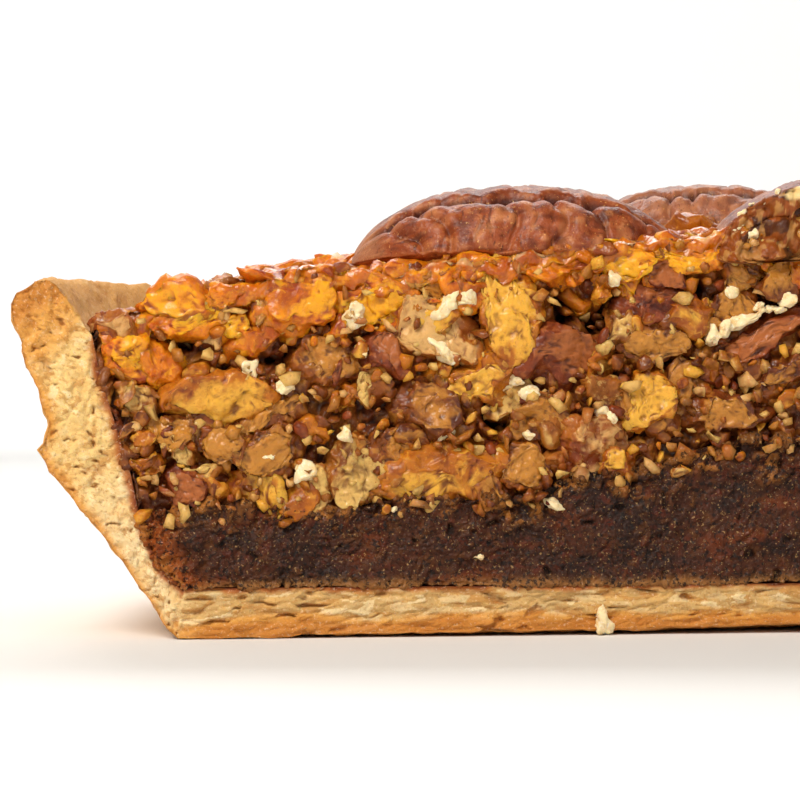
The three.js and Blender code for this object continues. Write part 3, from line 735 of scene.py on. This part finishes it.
batches = {kind: [] for kind in KINDS}
OVERSIZE = 1.18  # a lump's flat breaks take this much off its outline
big = np.array([nut[:5] for nut in CUT_NUTS])
big_kind = np.array([nut[5] for nut in CUT_NUTS])
draw = np.random.default_rng(7)
big_depth = np.minimum(7, 1.1 * big[:, 2:4].min(1) + 2)
big_behind = big_depth * draw.uniform(0.24, 0.42, len(big))
big_behind[0] = 0.12 * big_depth[0]  # the palest piece was cut through its middle
for k, kind in enumerate(KINDS):
    mine = big_kind == kind
    sizes = np.stack([big[mine, 2], big_depth[mine], big[mine, 3]], 1) * OVERSIZE
    centres = cut_centres(big[mine, 0], big[mine, 1], big_behind[mine])
    batches[kind].append(lumps(5, centres, sizes, np.radians(big[mine, 4]), 100 + 10 * k, rough=0.75))
print(len(big), "pieces placed by hand")

# %% [markdown]
# ### The pieces between
# Between them the cut is packed with smaller pieces. They are thrown at random, thinned so that no two of
# the same size are too close, and kept out of the hollows. The kinds change with height as in a real pie:
# amber near the top, golden and tan in the middle, dulled by custard below. Last come granules, as fine as
# coarse sugar: they are angular and mostly pale, and cling to the cut face whole.

# %% Scatter over the cuts
TRIES = 6  # places drawn for each piece wanted, since many don't fit
ON_PLACED = 0.1  # chance of a piece on one of the listed pieces


def scattered(count, spacing, size_range, behind_range, seed, back_cut, low):
    """Random places on a cut that keep spacing mm from each other, with a size for each. They reach low mm
    into the custard, and one in ten may lie on one of the listed pieces."""
    draw = np.random.default_rng(seed)
    inward = draw.uniform(10, RIM_RADIUS - 2.5, count * TRIES)
    height = draw.uniform(10, 43, count * TRIES)
    size = draw.uniform(*size_range, count * TRIES)
    fits = height > custard_top(inward) - low + 0.3 * size
    fits &= height < heap_top(inward, 0) - 0.4 - 0.4 * size
    fits &= inward > wall_at(height) + size * 0.3
    if not back_cut:
        within = (((inward[:, None] - big[:, 0]) / big[:, 2]) ** 2
                  + ((height[:, None] - big[:, 1]) / big[:, 3]) ** 2).min(1) < 0.17
        fits &= ~within | (draw.random(len(inward)) < ON_PLACED)
    inward, height, size = inward[fits], height[fits], size[fits]
    apart = np.hypot(inward[:, None] - inward, height[:, None] - height)
    earlier = np.tril(apart < spacing, -1)
    kept = np.ones(len(inward), bool)
    for k in range(len(inward)):
        kept[k] = not (earlier[k] & kept).any()
    keep = np.flatnonzero(kept)[:count]
    behind = draw.uniform(*behind_range, len(keep))
    return inward[keep], height[keep], behind, size[keep], draw


def kinds_for(inward, height, draw):
    """A kind for each piece: chance of amber grows near the top, of tan near the custard."""
    share = (height - custard_top(inward)) / (heap_top(inward, 0) - custard_top(inward))
    same = np.ones(len(share))
    chance = np.stack([0.28 * same, 0.62 - 0.35 * share, 0.1 * same, 1.8 * rise(share, 0.68, 0.9),
                       0.14 - 0.12 * rise(share, 0.65, 0.9), 0.06 * same], 1)
    chance /= chance.sum(1, keepdims=True)
    passed = draw.random(len(share))[:, None] > np.cumsum(chance, 1)
    return np.array(KINDS)[passed.sum(1).clip(0, len(KINDS) - 1)]


# Count, spacing, sizes, depth behind the cut, icosphere level, back cut, reach into the custard
SCATTERS = [
    (150, 3.3, (2.6, 4.8), (0.9, 2.4), 4, False, 0.5), (300, 1.6, (0.8, 1.7), (0.0, 1.0), 2, False, 1.5),
    (130, 4.4, (3.6, 6.2), (0.9, 2.2), 3, True, 0.0), (420, 1.9, (1.2, 2.4), (0.2, 1.2), 2, True, 1.0),
    (650, 1.0, (0.5, 1.4), (-0.2, 0.4), 1, False, 1.2), (450, 1.3, (0.5, 1.4), (-0.2, 0.4), 1, True, 2.0)]
GRANULE_KINDS = np.array(["tan", "cream", "cream", "split", "golden", "cream"])
for row, (count, spacing, size_range, behind_range, level, back_cut, low) in enumerate(SCATTERS):
    inward, height, behind, size, draw = scattered(count, spacing, size_range, behind_range, 200 + row,
                                                   back_cut, low)
    kind_of = kinds_for(inward, height, draw)
    granules = level == 1
    if granules:
        kind_of = GRANULE_KINDS[draw.integers(0, len(GRANULE_KINDS), len(size))]
    if not back_cut:
        behind = behind + np.where(in_hollow(inward, height) > 0.15, 3.0, 0)
    sizes = size[:, None] * draw.uniform(0.65, 1.35, (len(size), 3))
    turns = draw.uniform(-1.5, 1.5, len(size))
    centres = cut_centres(inward, height, behind, back_cut)
    for k, kind in enumerate(KINDS):
        mine = kind_of == kind
        batches[kind].append(lumps(level, centres[mine], sizes[mine], turns[mine], 300 + 20 * row + k,
                                   rough=1.8 if granules else 1, facets=5 if granules else 9,
                                   power=20 if granules else 8, cut=not granules))
    print(len(size), "pieces between,", "back cut" if back_cut else "front cut")

# %% [markdown]
# ### The pieces on top
# From above the pie is a field of pieces that stand out of the syrup. They follow rows round the pie, with
# their places and turns shaken, and sink in by about half. The front edge is seen as a line against the
# light, so the large ones keep away from it and from the pecan halves that show there.

# %% Pieces that stand out of the top
def on_top(spacing, size_range, sunk, seed):
    """Rows at equal distances from the rim, pieces at equal steps round each, all shaken. Returns centres
    and sizes; sunk is the share of a piece that lies in the syrup."""
    draw = np.random.default_rng(seed)
    rows = np.arange(10.5, RIM_RADIUS - 3, spacing)
    steps = [np.arange(0.35, (RIM_RADIUS - row) * SLICE_ANGLE / spacing) * spacing / (RIM_RADIUS - row)
             for row in rows]
    inward = np.repeat(rows, [len(step) for step in steps])
    angle = np.concatenate(steps) + draw.normal(0, 0.22 * spacing, len(inward)) / (RIM_RADIUS - inward)
    inward = inward + draw.normal(0, 0.22 * spacing, len(inward))
    size = draw.uniform(*size_range, len(inward))
    sizes = size[:, None] * draw.uniform((1.0, 0.9, 0.6), (1.4, 1.2, 0.85), (len(size), 3))
    by_rim = rise(-inward, -24, -14)
    height = heap_top(inward, angle) - sizes[:, 2] * (sunk - 0.5) - 0.3 + 0.4 * by_rim
    inside = (inward > wall_at(height) + size * 0.3) & (angle > 0) & (angle < SLICE_ANGLE)
    behind = angle * (RIM_RADIUS - inward)
    small = size < 2.7
    inside &= (behind > 8) | (np.abs(inward - 87) > 15)  # the cut half
    inside &= small | (behind > 16) | (np.abs(inward - 72) > 14)  # in front of the middle half
    inside &= small | (behind > 2.6) | (inward < 32)  # the front edge
    return swept(inward, height, angle)[inside], sizes[inside], draw


TOP_PIECES = [(6.6, (4.4, 7.4), 0.62, 4), (2.9, (1.2, 2.6), 0.45, 2)]  # spacing, sizes, sunk, level
TOP_KINDS = np.array(["amber", "golden", "amber", "split", "amber", "golden"])
for row, (spacing, size_range, sunk, level) in enumerate(TOP_PIECES):
    centres, sizes, draw = on_top(spacing, size_range, sunk, 400 + row)
    kind_of = TOP_KINDS[draw.integers(0, len(TOP_KINDS), len(sizes))]
    for k, kind in enumerate(KINDS):
        mine = kind_of == kind
        if mine.any():
            turns = draw.uniform(-0.3, 0.3, mine.sum())
            batches[kind].append(lumps(level, centres[mine], sizes[mine], turns, 500 + 20 * row + k))
    print(len(sizes), "pieces on top")

# %% [markdown]
# ### Finishes of the six kinds
# Pecan flesh is oily and slightly translucent, so light spreads a millimetre inside it and its edges glow.
# Syrup gives a clear wet coat. Deep between the pieces everything is darker, because syrup gathers there
# and less light comes back; that shade is painted into the colour, so each lump carries its depth behind the
# cut.

# %% Finishes of nut flesh and skin
def nut_flesh(name, base, dark, pale, skin, wet, glow, skin_from=0.9):
    """Flesh of one kind: skin on one side, paler where the knife cut it and brown at the rim of the cut,
    mottled by syrup in patches, with shade painted dark in its small gaps and darker still far in the heap,
    where syrup also gathers. skin_from is the value of the piece's own skin mask where the skin begins: the
    higher, the less of it shows."""
    return food(name, base, [
        ((2.2, (1, 1, 1)), 0.46, 0.62, dark, 0.55),
        ("skin", skin_from, skin_from + 0.4, skin, 0.85),
        ("tint", 0.55, 1.0, dark, 0.35),
        ("tone", 0.3, 0.05, dark, 0.4),
        ((4.5, (1, 1, 1)), 0.52, 0.64, "#8e3f06", 0.4),
        ((1.1, (1, 1, 1)), 0.56, 0.68, skin, 0.25),
        ("flesh", 0.15, 0.8, pale, 0.75),
        ("tone", 0.7, 1.0, pale, 0.55),
        ((0.9, (1, 1, 1)), 0.5, 0.66, base, 0.4),
        ((0.3, (1, 1, 1)), 0.58, 0.7, dark, 0.35),
        # Painted shade in the small gaps, darkest there in the skin's colour
        ("gap", 0.1, 0.9, dark, 0.75),
        ("gap", 0.7, 1.0, skin, 0.6),
        ((0.4, (1, 1, 1)), 0.58, 0.7, pale, 0.3),
        ("clear", 0.1, 1.0, pale, 0.45),
        ((0.7, (1, 1, 1)), 0.54, 0.7, dark, 0.3),
        # Painted shade, with gathered syrup: darker the farther behind a cut or below the top
        ("deep", 0.3, 0.8, "#401000", 0.75),
        ("deep", 0.75, 1.0, "#1e0600", 0.75),
    ], relief=[(0.6, 0.1), (0.22, 0.04)], rough=0.6, wet=wet, wet_rough=0.08, glow=glow, glow_mm=1.4,
        ior=1.33)


NUT_FINISHES = {
    # Toasted pecan flesh under a thin film of syrup: golden, moist, a little clear at its edges
    "golden": nut_flesh("golden_nut_flesh", "#ba6a04", "#7e3200", "#f0b43c", "#642000", 0.45, 0.3, 1.4),
    # The same flesh dulled by custard: tan to olive brown
    "tan": nut_flesh("tan_nut_flesh", "#8a4502", "#542000", "#c8862e", "#501a00", 0.45, 0.2),
    # Flesh that the knife opened and the syrup never reached: cream, almost dry
    "cream": nut_flesh("cream_nut_flesh", "#a86418", "#703402", "#e4ba68", "#6a3206", 0.3, 0.25, 1.3),
    # Pieces boiled clear in syrup: amber, glassy
    "amber": nut_flesh("amber_syrup_nut", "#e08000", "#a43800", "#f8ae08", "#7a2000", 0.55, 0.45, 1.3),
    # Skin side out: reddish brown, satin, wet in the cracks
    "skin": nut_flesh("brown_nut_skin", "#84360a", "#481200", "#b0642c", "#420f00", 0.35, 0.12, 2.0),
    # Split pieces: pale inside, orange-brown skin round them
    "split": nut_flesh("split_nut_flesh", "#b06820", "#863600", "#e0b06a", "#7a2e04", 0.45, 0.25, 0.4),
}


def joined(batch):
    """Several batches of lumps as one: points, triangles, and the values that the lumps carry."""
    starts = np.cumsum([0] + [len(points) for points, _, _ in batch[:-1]])
    faces = np.concatenate([part[1] + start for part, start in zip(batch, starts)])
    own = {key: np.concatenate([part[2][key] for part in batch]) for key in batch[0][2]}
    return np.concatenate([part[0] for part in batch]), faces, own


for kind in KINDS:
    points, faces, own = joined(batches[kind])
    front, back = behind_cuts(points)
    # How far behind the cuts or below the top each point lies, painted as shade and gathered syrup
    below_top = heap_top(inward_of(points), SLICE_ANGLE / 2) + 0.5 - points[:, 2]
    own["deep"] = np.clip(np.minimum(np.minimum(front, back), below_top) / 4.0, 0, 1)
    own["flesh"] = rise(own["flesh"], 0.05, 1.3)
    make_piece("nuts_" + kind, points, faces, NUT_FINISHES[kind], "nuts", ["chopped_nuts"], **own)

# %% [markdown]
# ## The syrup on top
# Sugar syrup sets on the heap as a thin, glassy, amber skin that dips between the pieces and shows at the
# cut as a shining orange edge, with whitish glints painted along it. It is a thin brick that follows the
# heap's top, with round lumps where it covers a piece.

# %% The syrup film
FILM_EDGE, FILM_TIP_GAP = 8.6, 0.8  # in from the rim, and from the point of the slice
FILM_THIN, FILM_THICK = 0.9, 3.0


def film_points(s, t, a):
    """A sheet 0.9 to 3 mm thick whose top is the heap's top plus lumps of 7 and 3 mm."""
    inward = FILM_EDGE + s * (RIM_RADIUS - FILM_EDGE - FILM_TIP_GAP)
    angle = a * SLICE_ANGLE
    flat = swept(inward, 0 * s, angle)
    top = heap_top(inward, angle) - 0.1 + crumble(flat, [(7.0, 0.9), (3.0, 0.7)], 61)
    top = top + 0.25 * noise(flat, 1.3, 64)
    height = top - (1 - t) * np.clip(1.8 + 1.6 * noise(flat, 2.4, 65), FILM_THIN, FILM_THICK)
    edge = wall_at(height) + 0.05
    return swept(np.maximum(inward, edge), height, angle)


(s, t, a), film_faces = brick(along=352, across=8, around=120, every=2)
film = film_points(s, t, a)
film_faces = outward(film, film_faces)
in_cut = on_cuts(a)
bulge = in_cut * (0.5 * noise(film, 2.0, 66) + crumbs(film, [(1.8, 0.35), (0.8, 0.15)], 67) - 0.1)
film = film + normals_of(film, film_faces) * bulge[:, None]

# Set sugar syrup: hard, clear amber with a mirror-like skin, and whitish glints painted in places on its
# upper edge and top
syrup = food("set_amber_syrup", "#c86a00", [
    ((4.0, (1, 1, 1)), 0.46, 0.62, "#983400", 0.65),
    ((1.6, (1, 1, 1)), 0.5, 0.66, "#ee9c0c", 0.7),
    ((0.9, (1, 1, 1)), 0.56, 0.7, "#702800", 0.45),
    ("top", 0.5, 1.0, "#cc6e06", 0.5),
    # Painted highlight: the whitish glints
    ("bloom", 0.3, 0.9, "#ecd09c", 0.4),
], relief=[(0.8, 0.14), (0.3, 0.05)], rough=0.35, wet=0.7, wet_rough=0.04, glow=0.4, glow_mm=2.0, ior=1.33)
# Painted highlight: whitish glints in patches along the film's upper edge at the cuts and on its top
dry = rise(noise(film, 1.3, 68) + 0.7 * noise(film, 5, 69), 0.0, 0.5)
bloom = np.where(in_cut > 0, rise(t, 0.7, 1.0), 0.8) * dry * rise(s, 0.15, 0.3)
make_piece("syrup_film", film, film_faces, syrup, "nuts", ["chopped_nuts"],
           top=t * (1 - in_cut), bloom=bloom)

# %% [markdown]
# ## Pecan halves
# A pecan half is a long dome. Two furrows run along it and leave a ridge in the middle and a lobe on each
# side; the lobes are pinched across into soft scallops, and fine wrinkles run along the skin. All of that is
# one formula for how far the surface reaches at a place along the half and an angle round it.

# %% A pecan half as a formula
PECAN_WIDTH, PECAN_UP, PECAN_DOWN = 0.52, 0.2214, 0.0486  # of its length
PECANS = {  # (inward, behind the cut, height of its flat side, length, turn, nose up, roll, points along)
    "pecan_half_front": (52.2, 9.6, 37.6, 35, 2, 0, -8, 260),
    "pecan_half_middle": (74.6, 25.4, 40, 29, 12, 1, -10, 200),
    "pecan_half_cut": (84.9, 2.6, 40.1, 30, -4, 8, 4, 220),
    "pecan_half_back": (52.6, 43.2, 37.2, 30, 36, 0, 6, 160),
}


def pecan_half(length, count, seed):
    """x runs from -1 to 1 and the angle goes round from the top. The half is (1 - |x|^2.3)^0.6 full. The
    furrow sits at 0.86 rad, nearer the ridge where a scallop swells; scallops meet where sin(pi w) = 0.
    Returns points, triangles, and masks of its creases, folds, rubbed crests, streaks, edge and nose."""
    rounds = count // 2
    x = -np.cos(np.linspace(0.03, np.pi - 0.03, count))[:, None]
    angle = np.linspace(-np.pi, np.pi, rounds, endpoint=False)[None, :]
    x, angle = np.broadcast_arrays(x, angle)
    side = np.where(angle > 0, 1.0, -1.0)
    place = np.stack([x * 3.1 + side * 7 + seed, np.cos(angle) * 1.2, np.sin(angle) * 1.2], -1)
    w = x * 3.4 + side * 1.7 + 0.75 * noise(place, 1.1, seed) - 0.5 * np.abs(angle)
    swell = np.abs(np.sin(np.pi * w)) ** 0.6
    full = (1 - np.abs(x) ** 2.3) ** 0.6
    body = rise(full, 0.2, 0.75)
    furrow_at = 0.86 - 0.17 * swell * body + 0.09 * noise(place, 0.7, seed + 1)
    off = np.abs(angle) - furrow_at
    furrow = np.exp(-(off / 0.09) ** 2) * body
    lobe = rise(off, 0.02, 0.3) * rise(-np.abs(angle), -2.0, -1.45)
    ridge = rise(-off, 0.05, 0.4)
    crease = np.exp(-(np.sin(np.pi * w) / 0.26) ** 2) * body * (0.65 + 0.6 * noise(place, 0.9, seed + 7))
    across = place * (1, 0.55, 0.55)
    folds = np.abs(noise(across + 0.1 * noise(place, 0.5, seed + 8)[..., None], 0.42, seed + 2))
    reach = 1.02 - 0.17 * furrow - 0.075 * crease * lobe + 0.06 * swell * lobe * body
    reach = reach - 0.03 * crease * ridge + 0.08 * np.minimum(folds, 0.35) * body
    reach = reach + 0.04 * noise(place, 0.4, seed + 2)
    bumps = noise(place * (0.7, 1, 1), 0.17, seed + 3)
    reach = reach + 0.014 * bumps + 0.005 * noise(place, 0.07, seed + 4)
    ring = full * reach
    up = np.where(np.cos(angle) > 0, PECAN_UP, PECAN_DOWN) * length
    points = np.stack([x * length / 2, np.sin(angle) * ring * length * PECAN_WIDTH / 2,
                       np.cos(angle) * ring * up], -1)
    own = {"crease": np.clip(furrow + 0.5 * crease * lobe + 0.2 * crease * ridge, 0, 1),
           "rub": rise(folds + 0.35 * bumps, 0.28, 0.6) * body * (1 - furrow), "ridge": ridge,
           # Masks for painted shade in the skin's small dents and painted highlight on its small bulges
           "fold": rise(-folds + 0.1 * bumps, -0.07, 0.0) * body, "low": rise(-bumps, 0.05, 0.6),
           "high": rise(bumps, 0.1, 0.7),
           "streak": 0.5 + 0.5 * noise(place * (0.25, 1, 1), 0.09, seed + 5),
           "edge": rise(np.abs(angle), 1.35, 1.75), "nose": rise(np.abs(x), 0.72, 0.97)}
    ends = points[[0, -1]].mean(1)
    grid = np.arange(count * rounds).reshape(count, rounds)
    quads = np.stack([grid[:-1], np.roll(grid[:-1], -1, 1), np.roll(grid[1:], -1, 1), grid[1:]], -1)
    caps = [np.stack([np.full(rounds, count * rounds + e), row, np.roll(row, -1)], 1)[:, ::1 if e else -1]
            for e, row in ((0, grid[0]), (1, grid[-1]))]
    triangles = np.concatenate([two(quads.reshape(-1, 4)), *caps])
    own = {key: np.append(value.ravel(), [0.0, 0.0]) for key, value in own.items()}
    return np.concatenate([points.reshape(-1, 3), ends]), triangles, own


def laid(points, inward, behind, height, turn, nose_up, roll):
    """Rolls about its length, lifts its nose, turns it on the pie, and puts it in its place."""
    for axis, degrees in ((0, roll), (1, -nose_up), (2, -turn)):
        c, n = math.cos(math.radians(degrees)), math.sin(math.radians(degrees))
        first, second = [(1, 2), (2, 0), (0, 1)][axis]
        p, q = points[:, first].copy(), points[:, second].copy()
        points[:, first], points[:, second] = p * c - q * n, p * n + q * c
    return points + (crust_low[0] + inward, FRONT_Y + behind, height)


# %% [markdown]
# Pecan skin is a thin reddish-brown paper with tan showing where it is rubbed, dark lines in its folds and a
# satin sheen from its own oil, and its small bulges are painted lighter as highlight and its small dents
# darker as shade. Where the knife went through a half, its flesh shows: cream near its upper edge on the
# right, and otherwise dulled by syrup and sprinkled with fine granules.

# %% Pecan skin, and the halves in place
pecan_skin = food("pecan_skin", "#96451a", [
    ((5.0, (1, 1, 1)), 0.46, 0.62, "#7e3410", 0.8),
    ("ridge", 0.3, 1.0, "#743824", 0.75),
    ("streak", 0.5, 0.85, "#b4683c", 0.5),
    ((0.9, (1, 1, 1)), 0.55, 0.7, "#c07a48", 0.45),
    ("streak", 0.45, 0.15, "#4c1604", 0.7),
    ("rub", 0.1, 1.0, "#cc8c5a", 0.2),
    ("fold", 0.1, 0.9, "#46150a", 0.65),
    # Painted shade in the skin's small dents and painted highlight on its small bulges
    ("low", 0.0, 1.0, "#5c200a", 0.5),
    ("high", 0.0, 1.0, "#cc8450", 0.45),
    ("nose", 0.1, 1.0, "#cc9064", 0.5),
    ("pale", 0.2, 1.0, "#cc9c7c", 0.2),
    ("crease", 0.2, 0.8, "#421206", 0.85),
    ("crease", 0.8, 1.0, "#240803", 0.9),
    ("edge", 0.3, 1.0, "#a8521c", 0.4),
    ((0.3, (1, 1, 1)), 0.62, 0.72, "#efb060", 0.6),
    ((0.5, (0.5, 1, 1)), 0.42, 0.3, "#521e0a", 0.6),
    ("flesh", 0.2, 0.8, "#8c4408", 0.95),
    ("stale", 0.2, 0.8, "#3c1602", 0.85),
    ("granule", 0.5, 0.9, "#c08a48", 0.7),
    # Cream near the upper right edge of the cut flesh
    ("fresh", 0.3, 0.9, "#efd08e", 0.95),
], relief=[(0.5, 0.1), (0.22, 0.05)], rough=0.5, wet=0.15, wet_rough=0.2, glow=0.08, glow_mm=1.0, ior=1.38)
for number, (name, (inward, behind, height, length, *turns, count)) in enumerate(PECANS.items()):
    points, triangles, own = pecan_half(length, count, 70 + 10 * number)
    points, pressed = knife(laid(points, inward, behind, height, *turns), 0.0,
                            crumbs(points, [(2.6, 0.9), (1.1, 0.4)], 77) + 0.8)
    own["flesh"] = rise(pressed, 0.1, 0.5)
    own["stale"] = own["flesh"] * rise(noise(points, 2.2, 76), 0.0, 0.3)
    own["granule"] = own["flesh"] * cells(points, 1.0, 78)[1]
    own["pale"] = np.full(len(points), 1.0 if name == "pecan_half_middle" else 0.0)
    right, high = points[:, 0] - crust_low[0], points[:, 2]
    # Cream near the upper edge of the cut flesh, on the right
    by_right = rise(right + 0.6 * noise(points, 1.5, 75), 77, 78.2)
    own["fresh"] = own["flesh"] * by_right * rise(high, 43.4, 44.4)
    make_piece(name + "_skin", points, outward(points, triangles), pecan_skin, "pecan", [name], **own)

# %% [markdown]
# ## Loose crumbs
# The knife drops a few pale flakes of pastry and nut on the cut. They are the lightest things in the
# picture, so each one that shows is placed: (inward, height, width, height of the flake, turn in degrees).

# %% Pale flakes on the cut
FLAKES = [
    (34.5, 32.1, 1.9, 1.7, 20), (24.1, 26.9, 1.1, 1.4, 0), (27.4, 24.9, 1.4, 0.9, 10),
    (34.9, 28.7, 0.8, 0.8, 0), (33.4, 20.6, 1.2, 1.0, 0), (43.9, 33.6, 3.4, 1.5, 48),
    (43.4, 28.9, 2.4, 1.1, -28), (45.6, 33.9, 1.6, 1.2, 60), (48.4, 25.2, 2.4, 1.0, 5),
    (43.6, 20.6, 1.1, 2.4, -20), (50.4, 25.9, 1.3, 1.0, 0), (25.4, 18.1, 1.2, 0.7, 15),
    (28.9, 16.4, 1.6, 1.7, 0), (46.8, 8.2, 0.9, 0.7, 0), (54.2, 13.5, 1.6, 0.7, -8),
    (59.3, 22.4, 1.2, 0.9, -30), (60.2, 22.0, 0.9, 0.7, -30), (51.6, 24.3, 1.4, 1.1, 0),
    (51.7, 20.8, 0.9, 0.6, 0), (70.6, 30.2, 1.3, 1.6, 10), (75.1, 33.2, 0.9, 0.8, 0),
    (76.3, 32.9, 0.8, 0.7, 0), (77.2, 32.6, 0.9, 0.7, 0), (78.3, 33.7, 1.5, 1.3, 0),
    (73.9, 40.3, 1.2, 1.3, 0), (72.4, 34.4, 0.9, 0.8, 0), (74.2, 32.0, 3.0, 1.0, 24),
    (71.8, 31.2, 1.4, 1.0, 30), (59.2, 1.3, 1.3, 1.9, 0), (60.4, 35.9, 1.0, 1.0, 0),
    (38.1, 12.7, 0.5, 0.5, 0), (77.0, 40.4, 0.8, 0.8, 0), (73.2, 41.6, 0.7, 0.7, 0),
    (73.8, 42.5, 0.8, 0.6, 30), (74.9, 43.4, 0.7, 0.6, 0), (76.1, 44.0, 0.7, 0.5, 20),
    (72.9, 41.2, 0.7, 0.6, 0), (77.2, 44.6, 0.6, 0.5, 0), (77.4, 41.8, 0.6, 0.6, 0),
    (76.2, 39.0, 0.6, 0.5, 0)]
flakes = np.array(FLAKES)
centres = cut_centres(flakes[:, 0], flakes[:, 1], np.full(len(flakes), 0.2))
sizes = np.stack([flakes[:, 2], np.full(len(flakes), 0.9), flakes[:, 3]], 1) * 1.25
points, faces, own = lumps(4, centres, sizes, np.radians(flakes[:, 4]), 801, rough=1.1, facets=6, power=20,
                           cut=False)

# Crumbs of blind-baked pastry and dry nut: matte and cream
crumb_finish = food("dry_pale_crumb", "#f6dfae", [
    ((0.9, (1, 1, 1)), 0.48, 0.66, "#e0b46c", 0.7),
    ((0.4, (1, 1, 1)), 0.52, 0.68, "#fff6e0", 0.7),
    # Painted shade in the flakes' small gaps
    ("gap", 0.2, 1.0, "#b98440", 0.7),
], relief=[(0.35, 0.08)], rough=0.75, glow=0.2, glow_mm=0.6)
make_piece("pale_flakes", points, faces, crumb_finish, "pastry", ["chopped_nuts"], gap=own["gap"])

# %% [markdown]
# ## Studio
# The slice stands on a pale surface that curves up all round, so no horizon shows from any side. A large
# soft light above and behind makes the syrup's edge shine, and whitish glints are painted on it too; a key in
# front on the rim's side opens the cut, a weak one fills its shadows, and the fourth washes the wall behind
# white. The sky gives the rest.

# %% Floor and lights
def cove(radius=0.95, bend=0.5, height=0.9, steps=96):
    """A flat disc, a quarter circle up and a wall, turned round the vertical axis."""
    corner = np.linspace(0, np.pi / 2, 24)
    out = np.concatenate([[0.001, radius * 0.5], radius + bend * np.sin(corner), [radius + bend]])
    up = np.concatenate([[0, 0], bend * (1 - np.cos(corner)), [bend + height]])
    turn = np.linspace(0, 2 * np.pi, steps, endpoint=False)
    points = np.stack([np.outer(out, np.cos(turn)), np.outer(out, np.sin(turn)),
                       np.outer(up, np.ones(steps))], -1).reshape(-1, 3)
    grid = np.arange(len(points)).reshape(len(out), steps)
    quads = np.stack([grid[:-1], grid[1:], np.roll(grid[1:], -1, 1), np.roll(grid[:-1], -1, 1)], -1)
    middle = grid[0][::steps // 4]
    mesh = bpy.data.meshes.new("cove")
    mesh.from_pydata(points, [], np.vstack([quads.reshape(-1, 4), middle]))
    mesh.shade_smooth()
    return mesh


# Matte white paper
paper = bpy.data.materials.new("matte_white_paper")
paper.use_nodes = True
paper.node_tree.nodes["Principled BSDF"].inputs["Base Color"].default_value = linear("#f4f3f1")
paper.node_tree.nodes["Principled BSDF"].inputs["Roughness"].default_value = 0.85
backdrop = bpy.data.objects.new("cove", cove())
backdrop.data.materials.append(paper)
bpy.context.collection.objects.link(backdrop)

LIGHTS = {  # place in m, size in m, power in W, colour, aim in m
    "back_softbox": ((0.0, 0.36, 0.44), (0.5, 0.2), 2.0, "#ffffff", (0, 0, 0.02)),
    "window_key": ((-0.28, -0.40, 0.46), (0.24, 0.24), 3.65, "#fff9f0", (0, 0, 0.02)),
    "front_fill": ((0.36, -0.52, 0.28), (0.25, 0.25), 0.6, "#ffffff", (0, 0, 0.02)),
    "wall_wash": ((0.0, 0.50, 0.5), (0.8, 0.2), 7.0, "#ffffff", (0, 1.4, 0.35)),
}
for name, (spot, (wide, high), power, tint, goal) in LIGHTS.items():
    light = bpy.data.lights.new(name, "AREA")
    light.shape = "RECTANGLE"
    light.size, light.size_y = wide, high
    light.energy = power
    light.color = linear(tint)[:3]
    lamp = bpy.data.objects.new(name, light)
    lamp.location = spot
    lamp.rotation_euler = (Vector(goal) - Vector(spot)).to_track_quat("-Z", "Y").to_euler()
    lamp.visible_camera = False
    bpy.context.collection.objects.link(lamp)

sky = bpy.data.worlds.new("sky")
sky.use_nodes = True
sky.node_tree.nodes["Background"].inputs["Color"].default_value = linear("#ffffff")
sky.node_tree.nodes["Background"].inputs["Strength"].default_value = 0.07
bpy.context.scene.world = sky
bpy.context.scene.view_settings.view_transform = "Standard"
